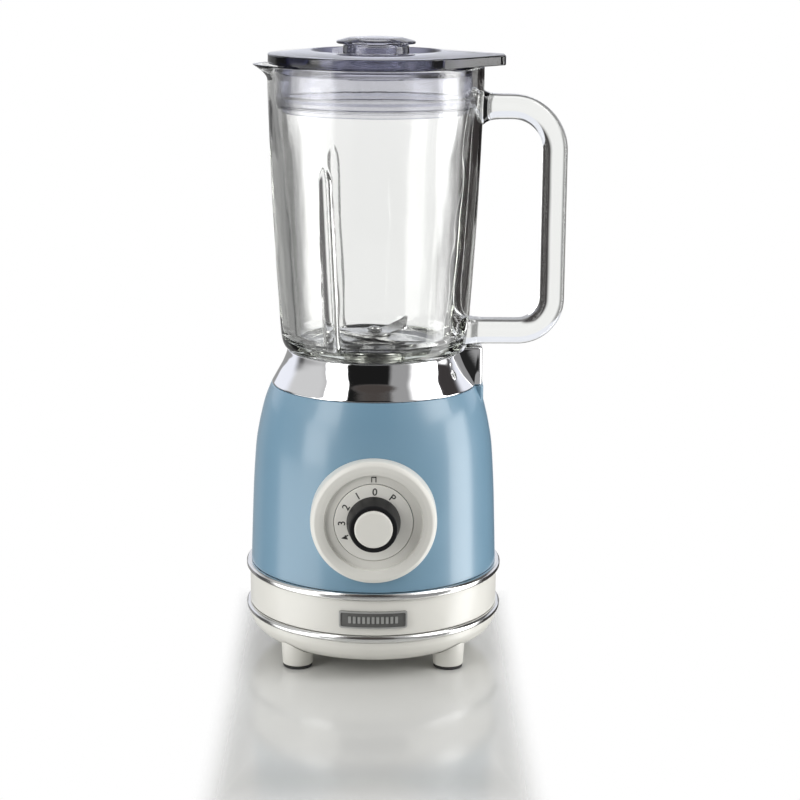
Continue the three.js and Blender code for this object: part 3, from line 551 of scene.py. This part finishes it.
jug_angles = ring_angles(180, [(d, 9, 0.4) for d in RIB_ANGLES] + [(180, 34, 1.2)])
jug_foot = [(17, 204), (50.5, 204, 1.5), (50.5, 184, 0.8), (56, 184, 0.8), (56, 209.4, 0.6)]
rim = [(RIM_OUTSIDE, WALL_TOP), (RIM_OUTSIDE, RIM, 1.6), (RIM_INSIDE, RIM, 1.6), (RIM_INSIDE, WALL_TOP)]
jug_line = [
    *rounded([*jug_foot, JUG_OUTSIDE[0]]),
    *JUG_OUTSIDE[1:],
    *rounded(rim, steps=6)[1:],
    *JUG_INSIDE[1:],
    (40, CAVITY_FLOOR),
    (17, CAVITY_FLOOR),
]
jug = spin("jug", jug_line, closed=True, angles=jug_angles, warp=jug_surface)
handle_bar = loft("handle_bar", handle_sections())
keep_out = [(0, 230), (62, 230), (66.8, 378), (66.8, 385), (0, 385)]
cut(handle_bar, spin("keep_out", keep_out, angles=ring_angles(72)))
add(jug, handle_bar)
finish_piece(jug, glass, "jug", ["jug_glass"], 40)

# ---------- Lid and measuring cup ----------
LID_R = 71.6
LID_CREST = 410.2
TAB_CORNER = 6
TAB_HALF_WIDE = 14
TAB_X = (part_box("lid")[1].x - AXIS.x) / MM - TAB_CORNER
TAB_Y = TAB_HALF_WIDE - TAB_CORNER
TAB_REACH = math.hypot(TAB_X, TAB_Y)
TAB_TANGENT = math.atan2(TAB_Y, TAB_X) + math.acos((LID_R - TAB_CORNER) / TAB_REACH)
WARP_FROM_R, WARP_FROM_Z = 67, 401.2


def lid_edge(angle):
    """Radius of the lid's rim: a circle and two tangents to the round corners of the thumb tab."""
    away = abs((angle + math.pi) % (2 * math.pi) - math.pi)
    if away > TAB_TANGENT:
        return LID_R
    best = LID_R / math.cos(away - TAB_TANGENT)
    corner = math.atan2(TAB_Y, TAB_X)
    offset = TAB_REACH * math.sin(away - corner)
    if abs(offset) < TAB_CORNER:
        best = min(best, TAB_REACH * math.cos(away - corner) + math.sqrt(TAB_CORNER**2 - offset**2))
    if away < corner:
        best = min(best, (TAB_X + TAB_CORNER) / math.cos(away))
    return best


def lid_warp(x, y, z):
    """Draws the rim of the lid out to its edge line."""
    r = math.hypot(x, y)
    if r < WARP_FROM_R or z < WARP_FROM_Z:
        return x, y, z
    scale = 1 + (lid_edge(math.atan2(y, x)) / LID_R - 1) * min((r - WARP_FROM_R) / 3, 1)
    return x * scale, y * scale, z


lid_angles = ring_angles(144, [(0, 44, 1.2), (0, 13, 0.35)])
lid_line = rounded(
    [
        (65.4, 401, 0.3), (67.2, 401.3, 0.2), (LID_R, 401.4, 0.7), (LID_R, 407.9, 1.0),
        (43.4, LID_CREST, 1.0), (41.4, 401.1, 1.2), (22.6, 401.1, 1.4), (21.7, 413.4, 0.5),
        (19.7, 414.1, 0.4), (19.6, 398.4, 0.4), (58.5, 398.4, 2.5), (61.6, 395, 1.5),
        (61.6, 370.4, 0.5), (64.4, 370.4, 0.5), (64.4, 373.2, 0.2), (65.7, 373.4, 0.2),
        (65.7, 374.2, 0.2), (64.4, 374.3, 0.2),
    ],
    closed=True,
    steps=4,
)
lid = spin("jug_lid", lid_line, closed=True, angles=lid_angles, warp=lid_warp)
finish_piece(lid, smoke, "lid", ["lid"], 40)

seal_line = rounded(
    [(64.7, 374.6, 0.2), (66.4, 376, 0.6), (65.7, 378.2, 0.5), (66.4, 380.4, 0.6), (64.7, 382, 0.2)],
    closed=True,
    steps=4,
)
lid_seal = spin("lid_ring_seal", seal_line, closed=True)
finish_piece(lid_seal, soft_seal, "lid", ["lid_seal"])

cap_line = rounded(
    [
        (0, 417), (15.6, 415.4, 2), (17.4, 412, 1.5), (16.8, 392, 0.5), (18.4, 392, 0.5), (19.1, 414.5, 0.8),
        (26.2, 414.5, 0.6), (26.2, 416.2, 0.8), (18, 418.4, 6), (0, top_of("measuring_cap")),
    ]
)
finish_piece(spin("measuring_cup", cap_line), smoke, "cap", ["measuring_cap"], 40)

# ---------- Collar ----------
PIN_X = 68.4
COLLAR_FLOOR = 181.4
flare = smooth_line([(69.7, 187.6), (66.4, 193.5), (62.8, 200), (60.5, 205.4), (59.3, 209)])
WELL_R = 57.3
under_flare = [
    (20, 178, 0.5), (59.2, 178, 0.5), (59.2, 200, 0.5), (62.6, 196), (68, 187, 0.3), (69.8, 187, 0.3)
]
well = [(59, 210, 0.6), (WELL_R, 210, 0.6), (WELL_R, COLLAR_FLOOR, 0.6), (20, COLLAR_FLOOR, 0.5)]
collar_line = [
    *rounded([*under_flare, flare[0]], steps=3),
    *flare[1:],
    *rounded([flare[-1], *well], steps=4)[1:],
]
collar = spin("collar", collar_line, closed=True)
lug_block = prism("lug_block", round_box(30, 29, 3.4, (58, 0)), 187, 213, 1.2)
jug_room_line = [
    (0, COLLAR_FLOOR), (WELL_R, COLLAR_FLOOR), (WELL_R, 209), (59.7, 209.4), (62, 211.3), (63.2, 214.5),
    (64.2, 219), (0, 219),
]
pocket = prism("pocket", round_box(9.6, 23.2, 1.5, (65.8, 0)), 180, 209.5)
pin_bore = prism("pin_bore", round_box(6, 6, 3, (PIN_X, 0), 8), 176, 222)
cut(lug_block, spin("jug_room", jug_room_line), pocket)
add(collar, lug_block)
cut(collar, pin_bore)
finish_piece(collar, chrome, "housing", ["chrome_collar"], 30)

# ---------- Painted shell ----------
SHELL_TOP = top_of("body_shell")
SHELL_WALL = 1.6
SHELL_OUT = smooth_line(
    [
        (84.6, 62.6), (83.7, 90), (82.6, 118), (80.9, 143), (79, 156), (76.3, 168.5), (73.9, 177),
        (70.3, 186),
    ],
    8,
)
shell_inside = [(r - SHELL_WALL, z) for r, z in SHELL_OUT]
shell_line = [
    *rounded([(83, 62.3), (84.6, 62.3, 0.3), SHELL_OUT[0]], steps=3),
    *SHELL_OUT[1:],
    *rounded([SHELL_OUT[-1], (69.9, SHELL_TOP, 0.6), (68.4, SHELL_TOP)], steps=3)[1:],
    *reversed(shell_inside),
]
shell = spin("painted_shell", shell_line, closed=True, angles=ring_angles(192))
bump = prism("bump", round_box(34, 30.6, 3.6, (57, 0)), 166, SHELL_TOP, 0.7)
cut(bump, spin("hollow", [(0, 60), *shell_inside, (68.4, 190), (0, 190)]))
add(shell, bump)
pin_room = prism("pin_room", round_box(9.2, 9.2, 4.6, (PIN_X, 0), 8), 150, 200)
shaft_room = rod("shaft_room", 6, -90, -70, TO_DIAL, 144)
cut(shell, pin_room, shaft_room)
finish_piece(shell, paint, "housing", ["body_shell"], 30)

# ---------- Base ----------
TRIM_R = 88
BAND_R = 85.5


def trim_ring(name, node):
    low, high = bottom_of(node), top_of(node)
    lower_half = [(82.3, low, 0.3), (TRIM_R - 1.2, low, 1.0), (TRIM_R, low + 1.3, 1.2)]
    upper_half = [(TRIM_R, high - 1.3, 1.2), (TRIM_R - 1.2, high, 1.0), (82.3, high, 0.3)]
    line = rounded([*lower_half, *upper_half], closed=True, steps=6)
    piece = spin(name, line, closed=True, angles=ring_angles(192))
    finish_piece(piece, satin, "housing", [node], 50)


trim_ring("trim_ring_upper", "upper_trim_ring")
trim_ring("trim_ring_lower", "lower_trim_ring")

low, high = bottom_of("base_band"), top_of("base_band")
band_line = [(82.5, low, 0.2), (BAND_R, low, 0.4), (BAND_R, high, 0.4), (82.5, high, 0.2)]
band = spin("base_side", rounded(band_line, closed=True, steps=3), closed=True, angles=ring_angles(192))
TO_INLET = lying(middle_of("cable_gland"))
cut(band, rod("cable_room", 5.3, 75, 95, TO_INLET))
finish_piece(band, cream, "housing", ["base_band"])

gland_corners = [(3.5, 79, 0.3), (5, 79), (5, 85.8), (7.4, 85.8, 0.3), (6.8, 88, 0.8), (3.5, 88, 0.5)]
gland_line = rounded(gland_corners, closed=True, steps=4)
gland = spin("inlet_gland", gland_line, closed=True, turn=TO_INLET, angles=ring_angles(64))
finish_piece(gland, rubber, "housing", ["cable_gland"])

PAN_OUT = smooth_line([(64, 10), (74, 12), (81.5, 17), (85.2, 22.6), (86, 27.2)], 7)
pan_inside = [(r - 2.3, z + 1.2) for r, z in PAN_OUT[:-1]]
pan_line = [(0, 10), *PAN_OUT, (85.8, 27.7), (83.7, 27.7), *reversed(pan_inside), (60, 12.5), (0, 12.5)]
pan = spin("base_tray", pan_line, angles=ring_angles(192))
FOOT_AT = 51
corners = {}
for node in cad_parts:
    if node.startswith("foot_") and not node.startswith("foot_pad"):
        low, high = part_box(node)
        centre = (low + high) / 2 - AXIS
        spot = (math.copysign(FOOT_AT, centre.x), math.copysign(FOOT_AT, centre.y), 0)
        corners[node[len("foot_"):]] = Matrix.Translation(spot)
for shift in corners.values():
    add(pan, rod("post", 5, 11.5, 29.7, shift, 32))
for shift in corners.values():
    cut(pan, rod("hole", 2.4, 5, 40, shift, 24))
VENTS = 12
for i in range(VENTS):
    spoke = Matrix.Rotation(math.radians((i + 0.5) * 360 / VENTS), 4, "Z")
    cut(pan, prism("vent", round_box(26, 3.6, 1.7, (35, 0), 5), 5, 20, turn=spoke))
finish_piece(pan, cream, "housing", ["base_pan"], 40)


def build_foot(where, shift):
    """A foot with its pad and screw; its top follows the underside of the tray."""
    line = rounded([(4.4, 2), (10.1, 2, 0.8), (11.4, 22), (11.4, 26), (4.4, 26)])
    block = spin("foot_block_" + where, line, closed=True, turn=shift, angles=ring_angles(64))
    under_tray = [(r + 0.3, z - 0.3) for r, z in PAN_OUT]
    cut(block, spin("seat", [(0, 9.7), *under_tray, (90, 27), (90, 40), (0, 40)], angles=ring_angles(192)))
    finish_piece(block, cream, "housing", ["foot_" + where], 40)
    pad_line = rounded([(4.4, 0), (9.8, 0, 0.5), (9.8, 1.7, 0.3), (4.4, 1.7)], closed=True, steps=3)
    pad = spin("pad_" + where, pad_line, closed=True, turn=shift, angles=ring_angles(64))
    finish_piece(pad, rubber, "housing", ["foot_pad_" + where])
    screw_line = [(0, 5), (2.6, 5), (3.6, 6.2, 0.5), (3.6, 8, 0.2), (2, 8), (2, 42), (0, 44)]
    screw = spin("screw_" + where, rounded(screw_line, steps=3), turn=shift, angles=ring_angles(32))
    for degrees in (0, 90):
        turned = shift @ Matrix.Rotation(math.radians(degrees), 4, "Z")
        cut(screw, prism("slot", round_box(5, 0.9, 0.2), 0, 6.6, turn=turned))
    finish_piece(screw, steel, "housing", ["pan_screw_" + where])


for where, shift in corners.items():
    build_foot(where, shift)

# ---------- Badge: a blank plate with a raised border and a row of plain bars ----------
BADGE_Z = middle_of("badge_plate")
TO_BADGE = facing(BADGE_Z)
BADGE_WIDE, BADGE_HIGH = 45.2, 11.5
BADGE_BACK, BADGE_FACE = 85.8, 86.6
BARS, BAR_WIDE, BAR_HIGH, BAR_PITCH = 11, 1.9, 4.6, 3.1
MARK_GAP = 0.02  # keeps a mark from sharing its underside with the face that it lies on
DEEP = (60, 110)


def on_band(name, outline, inner, outer):
    """The part of a thin ring round the base band that lies inside an outline."""
    low, high = BADGE_Z - 9, BADGE_Z + 9
    line = [(inner, low), (outer, low), (outer, high), (inner, high)]
    sheet = spin(name, line, closed=True, angles=ring_angles(60, [(270, 18, 0.5)]))
    return combine(sheet, prism("outline", outline, *DEEP, turn=TO_BADGE), "INTERSECT")


plate_outline = round_box(BADGE_WIDE, BADGE_HIGH, 1.8)
badge = on_band("badge", plate_outline, BADGE_BACK, BADGE_FACE)
# The plate takes the dark colour of painted shade in the recess.
finish_piece(badge, badge_recess_shade, "housing", ["badge_plate"], 40)
border = on_band("badge_border", plate_outline, BADGE_FACE + MARK_GAP, BADGE_FACE + 0.8)
cut(border, prism("inside", round_box(BADGE_WIDE - 2.2, BADGE_HIGH - 2, 1.2), *DEEP, turn=TO_BADGE))
finish_piece(border, badge_metal, "housing")
for i in range(BARS):
    outline = round_box(BAR_WIDE, BAR_HIGH, 0.5, (BAR_PITCH * (i - BARS // 2), 0))
    bar = on_band("badge_bar_" + str(i), outline, BADGE_FACE + MARK_GAP, BADGE_FACE + 0.7)
    finish_piece(bar, badge_metal, "housing")

# ---------- Dial: its profiles are (radius, place along Y), and the front is at -Y ----------
DISC_FACE = -87.3
bezel_line = rounded(
    [
        (26.1, -66), (26.1, -86.6, 0.3), (31.9, -86.7, 0.2), (32.4, -89.2, 0.3), (35.4, -89.5, 2.5),
        (38.6, -89.4, 2.5), (41.1, -87.4, 2.0), (41.5, -84.6, 0.5), (41.5, -66),
    ],
    steps=6,
)
bezel = spin("bezel", bezel_line, closed=True, turn=TO_DIAL, angles=ring_angles(160))
outside_shell = [(0, 60), *[(r + 0.3, z) for r, z in SHELL_OUT], (0, 190)]
cut(bezel, spin("outside_shell", outside_shell, angles=ring_angles(192)))
cut(bezel, prism("low_room", round_box(200, 200, 5), 0, 67.3))
finish_piece(bezel, cream, "housing", ["dial_bezel"], 32)

disc_line = [(3.3, -85.3), (3.3, DISC_FACE), (25.7, DISC_FACE, 0.4), (25.7, -85.3, 0.2)]
disc = spin("number_disc", rounded(disc_line, closed=True, steps=4), closed=True, turn=TO_DIAL)
finish_piece(disc, face, "knob", ["dial_disc"])

barrel_line = rounded(
    [
        (3.3, -87.6), (3.3, -98.3), (0, -98.3), (0, -101.4), (12.7, -101.4), (12.7, -102.8, 0.4),
        (15.6, -102.8, 1.0), (17.7, -87.6, 0.4),
    ],
    steps=4,
)
barrel = spin("knob_grip", barrel_line, closed=True, turn=TO_DIAL)
finish_piece(barrel, black, "knob", ["knob_barrel"])
button_line = rounded([(0, -101.7), (12.4, -101.7, 0.2), (12.4, -103.3, 0.9), (11, -103.8, 2), (0, -104)])
finish_piece(spin("knob_button", button_line, turn=TO_DIAL), cream, "knob", ["knob_cap"])

FIGURE_RADIUS, FIGURE_SIZE = 20.6, 6.8
FIGURES = (("0", 2), ("1", -30), ("2", -60), ("3", -91), ("4", -119), ("P", 36))


def dial_figure(figure, degrees):
    """A printed figure on the disc, its foot towards the middle."""
    name = "dial_figure_" + figure
    text = bpy.data.curves.new(name, "FONT")
    text.body = figure
    text.size = FIGURE_SIZE
    text.align_x = "CENTER"
    text.align_y = "CENTER"
    text.extrude = 0.04
    text.offset = 0.09
    text.resolution_u = 4
    holder = bpy.data.objects.new(name + "_text", text)
    bpy.context.scene.collection.objects.link(holder)
    bpy.context.view_layer.update()
    mesh = bpy.data.meshes.new_from_object(holder.evaluated_get(bpy.context.evaluated_depsgraph_get()))
    bpy.data.objects.remove(holder)
    upright = Matrix.Rotation(math.radians(90), 4, "X")
    around = Matrix.Rotation(math.radians(-degrees), 4, Vector((0, -1, 0)))
    middle = Matrix.Translation((0, DISC_FACE - MARK_GAP, DIAL_Z))
    mesh.transform(middle @ around @ Matrix.Translation((0, 0, FIGURE_RADIUS)) @ upright)
    mesh.transform(Matrix.Translation(AXIS) @ Matrix.Scale(MM, 4))
    piece = bpy.data.objects.new(name, mesh)
    bpy.context.scene.collection.objects.link(piece)
    finish_piece(piece, print_and_shade_ink, "knob")


for figure, degrees in FIGURES:
    dial_figure(figure, degrees)

# The fixed index over the figures: a small dark arch on the floor of the bezel's recess. It is painted shade,
# standing for the shaded edges of the moulded index pointer.
arch = [
    (-1.7, 27.2), (-1.1, 27.2), (-1.1, 30.2), (1.1, 30.2), (1.1, 27.2), (1.7, 27.2), (1.7, 30.9), (-1.7, 30.9)
]
index = prism("dial_index_painted_shade", arch, 86.5, 86.8, turn=facing(DIAL_Z))
finish_piece(index, print_and_shade_ink, "housing")

# ---------- Blades ----------
BLADE = 1.3
BLADE_GAP = 0.3
HUB_Z = bottom_of("blade_upper") - BLADE - BLADE_GAP
SHAFT_ROOM = 3.3
ARM_PLAN = smooth_line(
    [
        (-2, -8), (6, -8.6), (12, -8.5), (24, -6.2), (32, -0.5), (37, 4.5), (35.5, 5.8), (22, 5.2),
        (12, 7), (4, 8), (-2, 8), (-2, -8),
    ],
    5,
)[:-1]


def bent_arm(z, side, degrees):
    """One arm of a blade: a strip bent in the side view and cut to the plan."""
    line = smooth_line(side)
    strip = [(x, z + h) for x, h in line] + [(x, z + h + BLADE) for x, h in reversed(line)]
    turn = Matrix.Rotation(math.radians(degrees), 4, "Z")
    upright = Matrix.Translation((0, 20, 0)) @ Matrix.Rotation(math.radians(90), 4, "X")
    arm = prism("arm", strip, 0, 40, turn=turn @ upright)
    return combine(arm, prism("outline", ARM_PLAN, z - 30, z + 40, turn=turn), "INTERSECT")


def blade(name, node, z, side, degrees):
    top = z + BLADE
    hub_line = [(SHAFT_ROOM, z), (12, z, 0.2), (12, top, 0.2), (SHAFT_ROOM, top)]
    hub = spin(name, rounded(hub_line, closed=True, steps=2), closed=True)
    for half_turn in (0, 180):
        add(hub, bent_arm(z, side, degrees + half_turn))
    cut(hub, rod("bore", SHAFT_ROOM, z - 3, z + 5))
    finish_piece(hub, steel, "blades", [node], 25)


LOW_SIDE = [(-3, 0), (6, 0), (13, 0), (24, -0.5), (37, -1.2)]
HIGH_SIDE = [(-3, 0), (5, 0), (12, 0), (20, 1.2), (28, 3.3), (36, 5.9)]
blade("blades_low", "blade_lower", HUB_Z, LOW_SIDE, -42)
blade("blades_high", "blade_upper", HUB_Z + BLADE + BLADE_GAP, HIGH_SIDE, 45)

low, high = bottom_of("blade_nut"), top_of("blade_nut")
hexagon = [(4.8 * math.cos(i * math.pi / 3), 4.8 * math.sin(i * math.pi / 3)) for i in range(6)]
nut = prism("lock_nut", hexagon, low, low + 2, 0.3)
dome_line = rounded([(0, low + 1.8), (3.9, low + 1.8), (3.6, high - 0.5, 0.4), (1.5, high, 1), (0, high)])
add(nut, spin("dome", dome_line, angles=ring_angles(64)))
cut(nut, rod("nut_bore", SHAFT_ROOM, low - 1, low + 1.7))
finish_piece(nut, steel, "blades", ["blade_nut"])

# ---------- Foot of the jug and drive ----------
carrier_line = rounded(
    [
        (7.9, 198, 0.2), (16.6, 198, 0.3), (16.6, 216.2, 0.2), (22.5, 216.2, 0.3), (22.5, 217.1, 0.4),
        (12, HUB_Z - 1.3, 3), (7.9, HUB_Z - 0.9, 0.3),
    ],
    closed=True,
    steps=4,
)
finish_piece(spin("blade_carrier", carrier_line, closed=True), steel, "jug", ["blade_housing"])
low, high = bottom_of("blade_gasket"), top_of("blade_gasket")
gasket_line = [(17.4, low, 0.3), (23.2, low, 0.5), (23.2, high, 0.5), (17.4, high, 0.3)]
gasket = spin("carrier_gasket", rounded(gasket_line, closed=True, steps=3), closed=True)
finish_piece(gasket, soft_seal, "jug", ["blade_gasket"])
ring_nut = prism("ring_nut", star(28, 26.4, 16, 0.6), 198, 203.7, 0.3)
cut(ring_nut, rod("nut_room", 16.9, 190, 210, count=96))
finish_piece(ring_nut, grey, "jug", ["retaining_nut"])
seat_line = [(50, 181.7, 0.3), (56.6, 181.7, 0.3), (56, 183.7, 0.5), (50.6, 183.7, 0.5)]
well_ring = spin("well_ring", rounded(seat_line, closed=True, steps=3), closed=True)
finish_piece(well_ring, rubber, "housing", ["seat_ring"])

SPINDLE_ROOM = 4.3
socket_line = [
    (0, 184.6), (15.2, 184.6, 0.5), (15.2, 194, 0.8), (13, 196, 0.8), (7, 196.4, 0.3), (7, 197.6, 0.3),
    (0, 197.6),
]
socket_half = spin("socket_half", rounded(socket_line))
cut(socket_half, prism("socket_room", star(12.3, 9.1, 6, 0.62), 180, 191.4))
cut(socket_half, rod("socket_bore", SPINDLE_ROOM, 180, 200))
finish_piece(socket_half, rubber, "blades", ["jug_coupling"])

drive = prism("drive_star", star(11.5, 8.3, 6, 0.5), 182, 190.6, 0.5, turn=Matrix.Rotation(-0.02, 4, "Z"))
drive_hub_line = rounded([(0, 173), (13, 173, 0.2), (13, 174.5, 0.2), (8, 174.6), (8, 183), (0, 183)])
add(drive, spin("drive_hub", drive_hub_line, angles=ring_angles(96)))
cut(drive, rod("drive_bore", SPINDLE_ROOM, 170, 188))
finish_piece(drive, black, "rotor", ["drive_coupling"])

low, high = bottom_of("interlock_plunger"), top_of("interlock_plunger")
head = low + 2
pin_corners = [(0, low), (4, low, 0.2), (4, head, 0.2), (2.6, head), (2.6, high, 0.9), (0, high)]
pin_line = rounded(pin_corners, steps=4)
pin = spin("safety_pin", pin_line, turn=Matrix.Translation((PIN_X, 0, 0)), angles=ring_angles(48))
finish_piece(pin, grey, "plunger", ["interlock_plunger"])

# ---------- CAD nodes that stay ----------
CARRIED = {
    "motor_platform": grey, "switch_body": black, "switch_shaft": steel, "interlock_spring": steel,
    "microswitch": black, "upper_bearing": bronze, "lower_bearing": bronze, "upper_bracket": alloy,
    "lower_bracket": alloy, "stator_core": laminated, "field_coil_left": copper, "field_coil_right": copper,
    "brush_left": carbon, "brush_right": carbon, "motor_shaft": steel, "rotor_core": laminated,
    "rotor_winding": copper, "commutator": copper, "cooling_fan": black, "blade_shaft": steel,
    "blade_bushing": bronze, "shaft_seal": rubber,
}
for node, finish in CARRIED.items():
    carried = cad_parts[node]
    carried.data.materials.clear()
    carried.data.materials.append(finish)

# ---------- Studio ----------
world = bpy.data.worlds.new("studio")
bpy.context.scene.world = world
sky = Nodes(world)
coords = sky.node("ShaderNodeTexCoord")
split = sky.node("ShaderNodeSeparateXYZ")
sky.tree.links.new(coords.outputs["Generated"], split.inputs[0])
dir_x, dir_y, dir_z = split.outputs
TO_DEGREES = 180 / math.pi
from_camera = sky.math("ARCTAN2", dir_x, sky.math("MULTIPLY", dir_y, -1.0))
turn_angle = sky.math("MULTIPLY", from_camera, TO_DEGREES)
height_angle = sky.math("MULTIPLY", sky.math("ARCSINE", dir_z), TO_DEGREES)


def window(value, low, high, soft_low, soft_high):
    """1 between low and high and 0 outside, with soft edges."""
    rise = sky.smooth(value, low - soft_low, low + soft_low)
    fall = sky.smooth(value, high - soft_high, high + soft_high, 1.0, 0.0)
    return sky.math("MULTIPLY", rise, fall)


def card(below, light, turns, heights, soft):
    """A studio panel in these directions, in degrees. Turns run from the camera, positive to the right.

    soft holds the half widths of its left, right, lower and upper edge.
    """
    across = window(turn_angle, *turns, soft[0], soft[1])
    upward = window(height_angle, *heights, soft[2], soft[3])
    tone = light if isinstance(light, tuple) else (light, light, light)
    return sky.mix(sky.math("MULTIPLY", across, upward), below, (*tone, 1.0))


behind = sky.smooth(sky.math("ABSOLUTE", turn_angle), 120, 155)
room = sky.mix(behind, (0.34, 0.34, 0.34, 1), (1.02, 1.02, 1.02, 1))
BACK_SIDES = ((-200, -118), (118, 200))
BACK_PANELS = (
    ((0.95, 0.97, 1.05), (1.5, 20), (8, 8, 1, 3)),  # bright band, seen in the top of the lid
    (0.2, (27, 56), (8, 8, 3, 4)),
    (0.2, (-90, -40), (8, 8, 3, 4)),
)
# From the farthest to the nearest: light, turns, heights and soft edges.
PANELS = [
    (0.68, (-178, -66), (14, 60), (30, 10, 6, 6)),  # pale wall on the left
    (0.34, (-168, -130), (-60, 12), (4, 6, 6, 6)),
    (0.1, (-132, -104), (-60, 12), (5, 4, 6, 6)),
    ((0.05, 0.045, 0.045), (90, 169), (-60, 60), (3, 4, 6, 6)),  # dark side on the right, behind
    *[(light, turns, heights, soft) for turns in BACK_SIDES for light, heights, soft in BACK_PANELS],
    (0.12, (-34, 6), (11, 45), (2, 6, 3, 4)),
    (0.35, (14, 62), (5, 50), (8, 10, 4, 4)),
    (0.012, (-37, 22), (12, 45.2), (1, 4, 2, 1)),  # the black block on the front of the collar
    (0.02, (-24, 30), (-15.2, -5), (6, 6, 0.7, 3)),  # dark front, for the lug and the edges of the trim rings
    (4.5, (-66, -37), (12, 70), (2, 2, 5, 6)),  # lamp on the left, with its lower parts
    (4.4, (-72, -46), (-6, 12), (4, 4, 6, 4)),
    (2.3, (-100, -50), (-60, -6), (5, 4, 6, 5)),
    (5.0, (58, 90), (12, 62), (14, 1, 4, 6)),  # lamp on the right, with its lower part
    (5.0, (77, 106), (-60, 10), (3, 6, 6, 4)),
]
for panel in PANELS:
    room = card(room, *panel)
overhead = sky.smooth(height_angle, 58, 78)
room = sky.mix(overhead, room, (1.4, 1.4, 1.42, 1))
room = card(room, (0.07, 0.06, 0.055), (-50, 34), (44.9, 76), (8, 8, 0.8, 6))
path = sky.node("ShaderNodeLightPath")
seen = sky.mix(path.outputs["Is Camera Ray"], room, (1.0, 1.0, 1.0, 1))
background = sky.node("ShaderNodeBackground")
sky.tree.links.new(seen, background.inputs["Color"])
output = sky.node("ShaderNodeOutputWorld")
sky.tree.links.new(background.outputs[0], output.inputs["Surface"])

# Pale worktop: a glossy patch round the object that fades into plain white. It lies just under the feet.
floor = rod("worktop", 420, -4.2, -0.2, count=72)
top, kit, gloss, floor_out = principled("worktop")
kit.link(kit.mix(kit.noise(40), (0.62, 0.62, 0.6, 1), (0.65, 0.65, 0.63, 1)), gloss.inputs["Base Color"])
gloss.inputs["Roughness"].default_value = 0.14
gloss.inputs["Specular IOR Level"].default_value = 0.8
nothing = kit.node("ShaderNodeBsdfTransparent")
spot = kit.node("ShaderNodeSeparateXYZ")
kit.tree.links.new(kit.place(), spot.inputs[0])
aside = kit.math("ABSOLUTE", kit.math("SUBTRACT", spot.outputs[0], AXIS.x))
ahead = kit.math("SUBTRACT", AXIS.y, spot.outputs[1])
sideways = kit.smooth(aside, 0.07, 0.105)
forward = kit.smooth(ahead, 0.2, 0.34)
away = kit.smooth(ahead, -0.06, -0.12)
edge = kit.math("MAXIMUM", kit.math("MAXIMUM", sideways, forward), away)
blend = kit.node("ShaderNodeMixShader")
kit.link(edge, blend.inputs[0])
kit.tree.links.new(gloss.outputs[0], blend.inputs[1])
kit.tree.links.new(nothing.outputs[0], blend.inputs[2])
kit.tree.links.new(blend.outputs[0], floor_out.inputs["Surface"])
floor.data.materials.append(top)

# ---------- Camera ----------
CAMERA_AWAY, CAMERA_HIGH = 1.387, 0.492
LOOKS_DOWN = 12.945
view = bpy.data.cameras.new("camera")
view.lens = 93.42
view.sensor_width = 36
view.clip_end = 50
camera = bpy.data.objects.new("camera", view)
bpy.context.scene.collection.objects.link(camera)
swing = Matrix.Rotation(math.radians(-0.73), 4, "Z")
tilt = Matrix.Rotation(math.radians(90 - LOOKS_DOWN), 4, "X")
roll = Matrix.Rotation(math.radians(0.468), 4, "Z")
place = Matrix.Translation((AXIS.x, AXIS.y - CAMERA_AWAY, CAMERA_HIGH))
camera.matrix_world = place @ swing @ tilt @ roll
bpy.context.scene.camera = camera
bpy.context.scene.view_settings.view_transform = "Standard"
bpy.context.scene.cycles.max_bounces = 24
bpy.context.scene.cycles.transmission_bounces = 20
bpy.context.scene.cycles.glossy_bounces = 8
